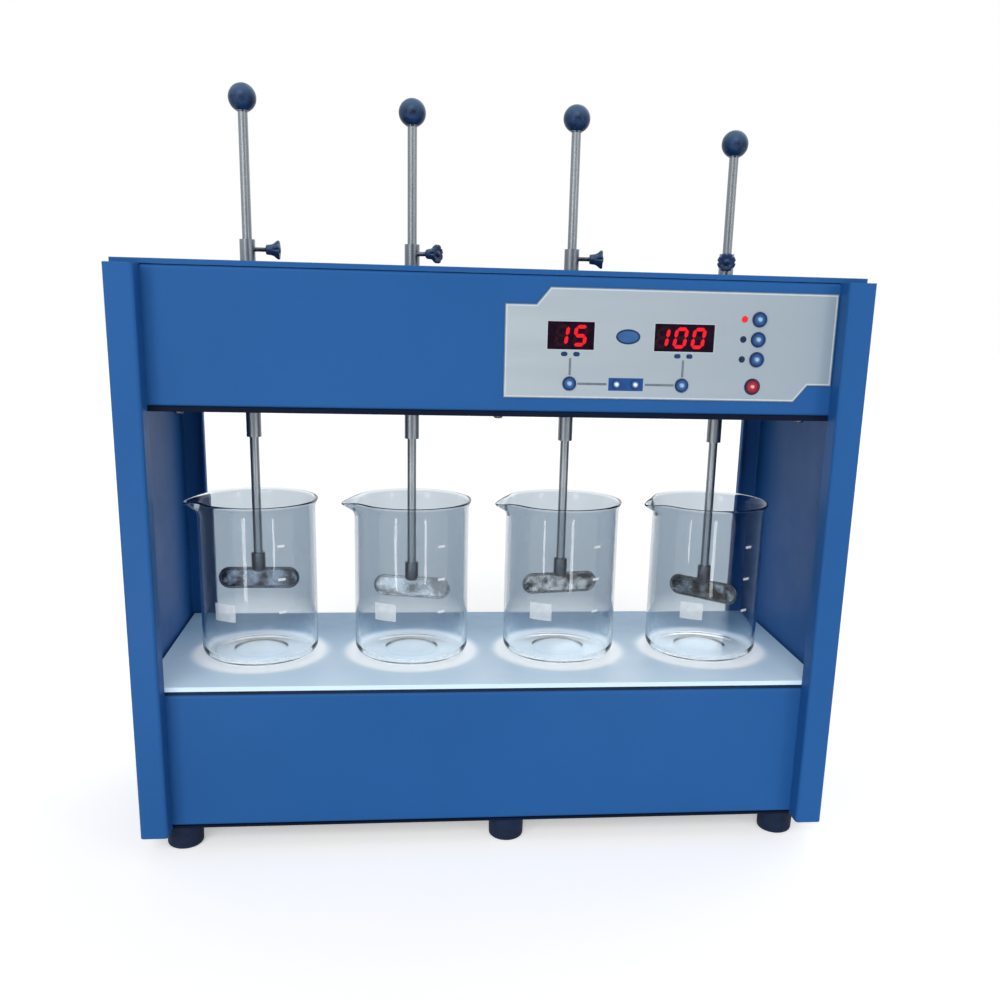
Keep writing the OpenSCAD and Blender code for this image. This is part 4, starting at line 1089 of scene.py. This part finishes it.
def screw(box):
    low, high = box
    extent = high - low
    axis = max(range(3), key=lambda k: extent[k])
    head_r = max(extent[k] for k in range(3) if k != axis) / 2
    outwards = axis != 2 and abs(high[axis]) > abs(low[axis])
    direction = Vector((0.0, 0.0, 0.0))
    direction[axis] = 1.0 if outwards else -1.0
    tip = box_middle(box)
    tip[axis] = high[axis] if outwards else low[axis]
    long = extent[axis]
    profile = [(0, -long), (CASING_TIP_R, -long), (CASING_SHANK_R, -long + CASING_TIP_L),
               (CASING_SHANK_R, -HEAD_T)]
    profile += [(head_r * share, height) for share, height in HEAD_CURVE]
    profile += [(CROSS_L + CROSS_LIP, 0.0), (cross, 0.0), (cross_floor, -RECESS), (0, -2 * RECESS)]
    return turned(profile, pointing(tip, direction), CROSS_ANGLES)


make_piece("casing_screws_crossed", [screw(box) for box in solids("casing_screws")], FINISH["plated_steel"],
           CASING, ["casing_screws"])


# Contact pins in the mains inlet

PIN_PLACES = in_mm(((-7, -2), (0, 2), (7, -2)))
PIN_ENDS = in_mm(((-14.2, 0.0), (-0.9, 0.0), (-0.3, 0.25), (0.05, 0.6)))
PIN_W, PIN_H, PIN_CORNER = mm(2.16, 4.16, 0.3)
PIN_IN = 4 * MM
SOCKET_DOWN = 13.5 * MM


def inlet_pins():
    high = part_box("mains_inlet")[1]
    socket_x, socket_z = middle("mains_inlet").x, high.z - SOCKET_DOWN
    parts = []
    for shift_x, shift_z in PIN_PLACES:
        centre = (socket_x + shift_x, socket_z + shift_z)
        rows = []
        for depth, shrink in PIN_ENDS:
            outline = rounded_box(centre, PIN_W - shrink, PIN_H - shrink, PIN_CORNER)
            rows.append([(x, high.y - PIN_IN + depth, z) for x, z in outline])
        parts.append(capped(rows))
    make_piece("mains_inlet_pins", parts, PIN_METAL, CASING)


inlet_pins()


# Camera at the photograph's angle

CAMERA_PLACE = Vector((-73.5, -932.9, 468.9)) * MM
CAMERA_YAW, CAMERA_PITCH, CAMERA_ROLL = 0.1028, -0.2424, 0.0254
CAMERA_SENSOR = 36
CAMERA_LENS = 36.71
CAMERA_SHIFT = (-0.010, 0.060)


def make_camera():
    data = bpy.data.cameras.new("camera")
    data.sensor_width = CAMERA_SENSOR
    data.lens = CAMERA_LENS
    data.shift_x, data.shift_y = CAMERA_SHIFT
    place = Matrix.Translation(CAMERA_PLACE)
    for axis, angle in (("Z", -CAMERA_YAW), ("X", math.pi / 2 + CAMERA_PITCH), ("Z", CAMERA_ROLL)):
        place = place @ Matrix.Rotation(angle, 4, axis)
    camera = new_object("camera", data)
    camera.matrix_world = place
    bpy.context.scene.camera = camera


# Stage: pale floor, white surroundings, a soft sun before and behind, tall soft boxes, and cards that only
# reflections show

FLOOR_TONES = ((0.90, 0.905, 0.91), (0.92, 0.925, 0.93))
CARD_TONE = (0.03, 0.035, 0.045)


def seen_directly(tree):
    """One for rays that show the surroundings: from the camera, in reflections and through glass."""
    path = add(tree, "LightPath")
    seen = compute(tree, "MAXIMUM", path.outputs["Is Camera Ray"], path.outputs["Is Glossy Ray"])
    return compute(tree, "MAXIMUM", seen, path.outputs["Is Transmission Ray"])


def make_world(ambient):
    world = bpy.data.worlds.new("surroundings")
    world.use_nodes = True
    tree = world.node_tree
    level = spread(tree, seen_directly(tree), ambient, 1.0, 0.0, 1.0)
    set_values(tree, tree.nodes["Background"], Color=rgba(WHITE), Strength=level)
    SCENE.world = world


def stage_sheet(name, corners, material):
    mesh = bpy.data.meshes.new(name)
    mesh.from_pydata(corners, [], [(0, 1, 2, 3)])
    mesh.materials.append(material)
    sheet = new_object(name, mesh)
    return sheet


def make_floor(width, glow):
    """Pale floor that glows a little towards the camera, so that it looks white and keeps its shadow."""
    material, tree, shader = new_material("pale_floor")
    clouds = spread(tree, noise(tree, 3, 4.0), 0.0, 1.0)
    shade = mixed(tree, clouds, *map(rgba, FLOOR_TONES))
    level = spread(tree, seen_directly(tree), 0.0, glow, 0.0, 1.0)
    set_values(tree, shader, Base_Color=shade, Roughness=0.8, Specular_IOR_Level=0.1,
               Emission_Color=rgba(WHITE), Emission_Strength=level)
    half = width / 2
    stage_sheet("floor", [(-half, -half, 0), (half, -half, 0), (half, half, 0), (-half, half, 0)], material)


def make_lamp(name, kind, energy, place, target, **settings):
    data = bpy.data.lights.new(name, kind)
    data.energy = energy
    for key, value in settings.items():
        setattr(data, key, value)
    new_object(name, data).matrix_world = pointing(place, Vector(place) - Vector(target))


def make_card(name, place, width, height, glow=0.0):
    """Upright card, dark or glowing, that only reflections show."""
    material, tree, shader = new_material(name)
    set_values(tree, shader, Base_Color=rgba(CARD_TONE), Roughness=0.9, Emission_Color=rgba(WHITE),
               Emission_Strength=glow)
    x, y, z = place
    left, right = x - width / 2, x + width / 2
    corners = [(left, y, z), (right, y, z), (right, y, z + height), (left, y, z + height)]
    card = stage_sheet(name, corners, material)
    for kind in ("camera", "diffuse", "shadow", "transmission"):
        setattr(card, f"visible_{kind}", False)


TARGET = (0.0, 0.0, 0.3)
make_camera()
make_world(ambient=0.40)
make_floor(width=24, glow=0.40)
make_lamp("soft_sun", "SUN", 1.25, (-0.5, -3.0, 2.2), TARGET, angle=math.radians(30))
make_lamp("left_soft_box", "AREA", 6, (-1.1, -1.5, 0.75), TARGET, shape="RECTANGLE", size=0.35, size_y=1.3)
make_lamp("right_soft_box", "AREA", 4, (1.3, -1.5, 0.75), TARGET, shape="RECTANGLE", size=0.3, size_y=1.3)
make_lamp("rear_fill", "SUN", 0.60, (1.8, 2.2, 2.0), TARGET, angle=math.radians(60))
make_card("dark_card", (0.0, -2.6, 0.0), 2.2, 2.2)
make_card("left_strip", (-0.36, -0.50, 0.08), 0.06, 0.11, glow=16.0)
make_card("right_strip", (0.20, -0.55, 0.08), 0.06, 0.11, glow=16.0)
bpy.context.scene.view_settings.view_transform = "Standard"
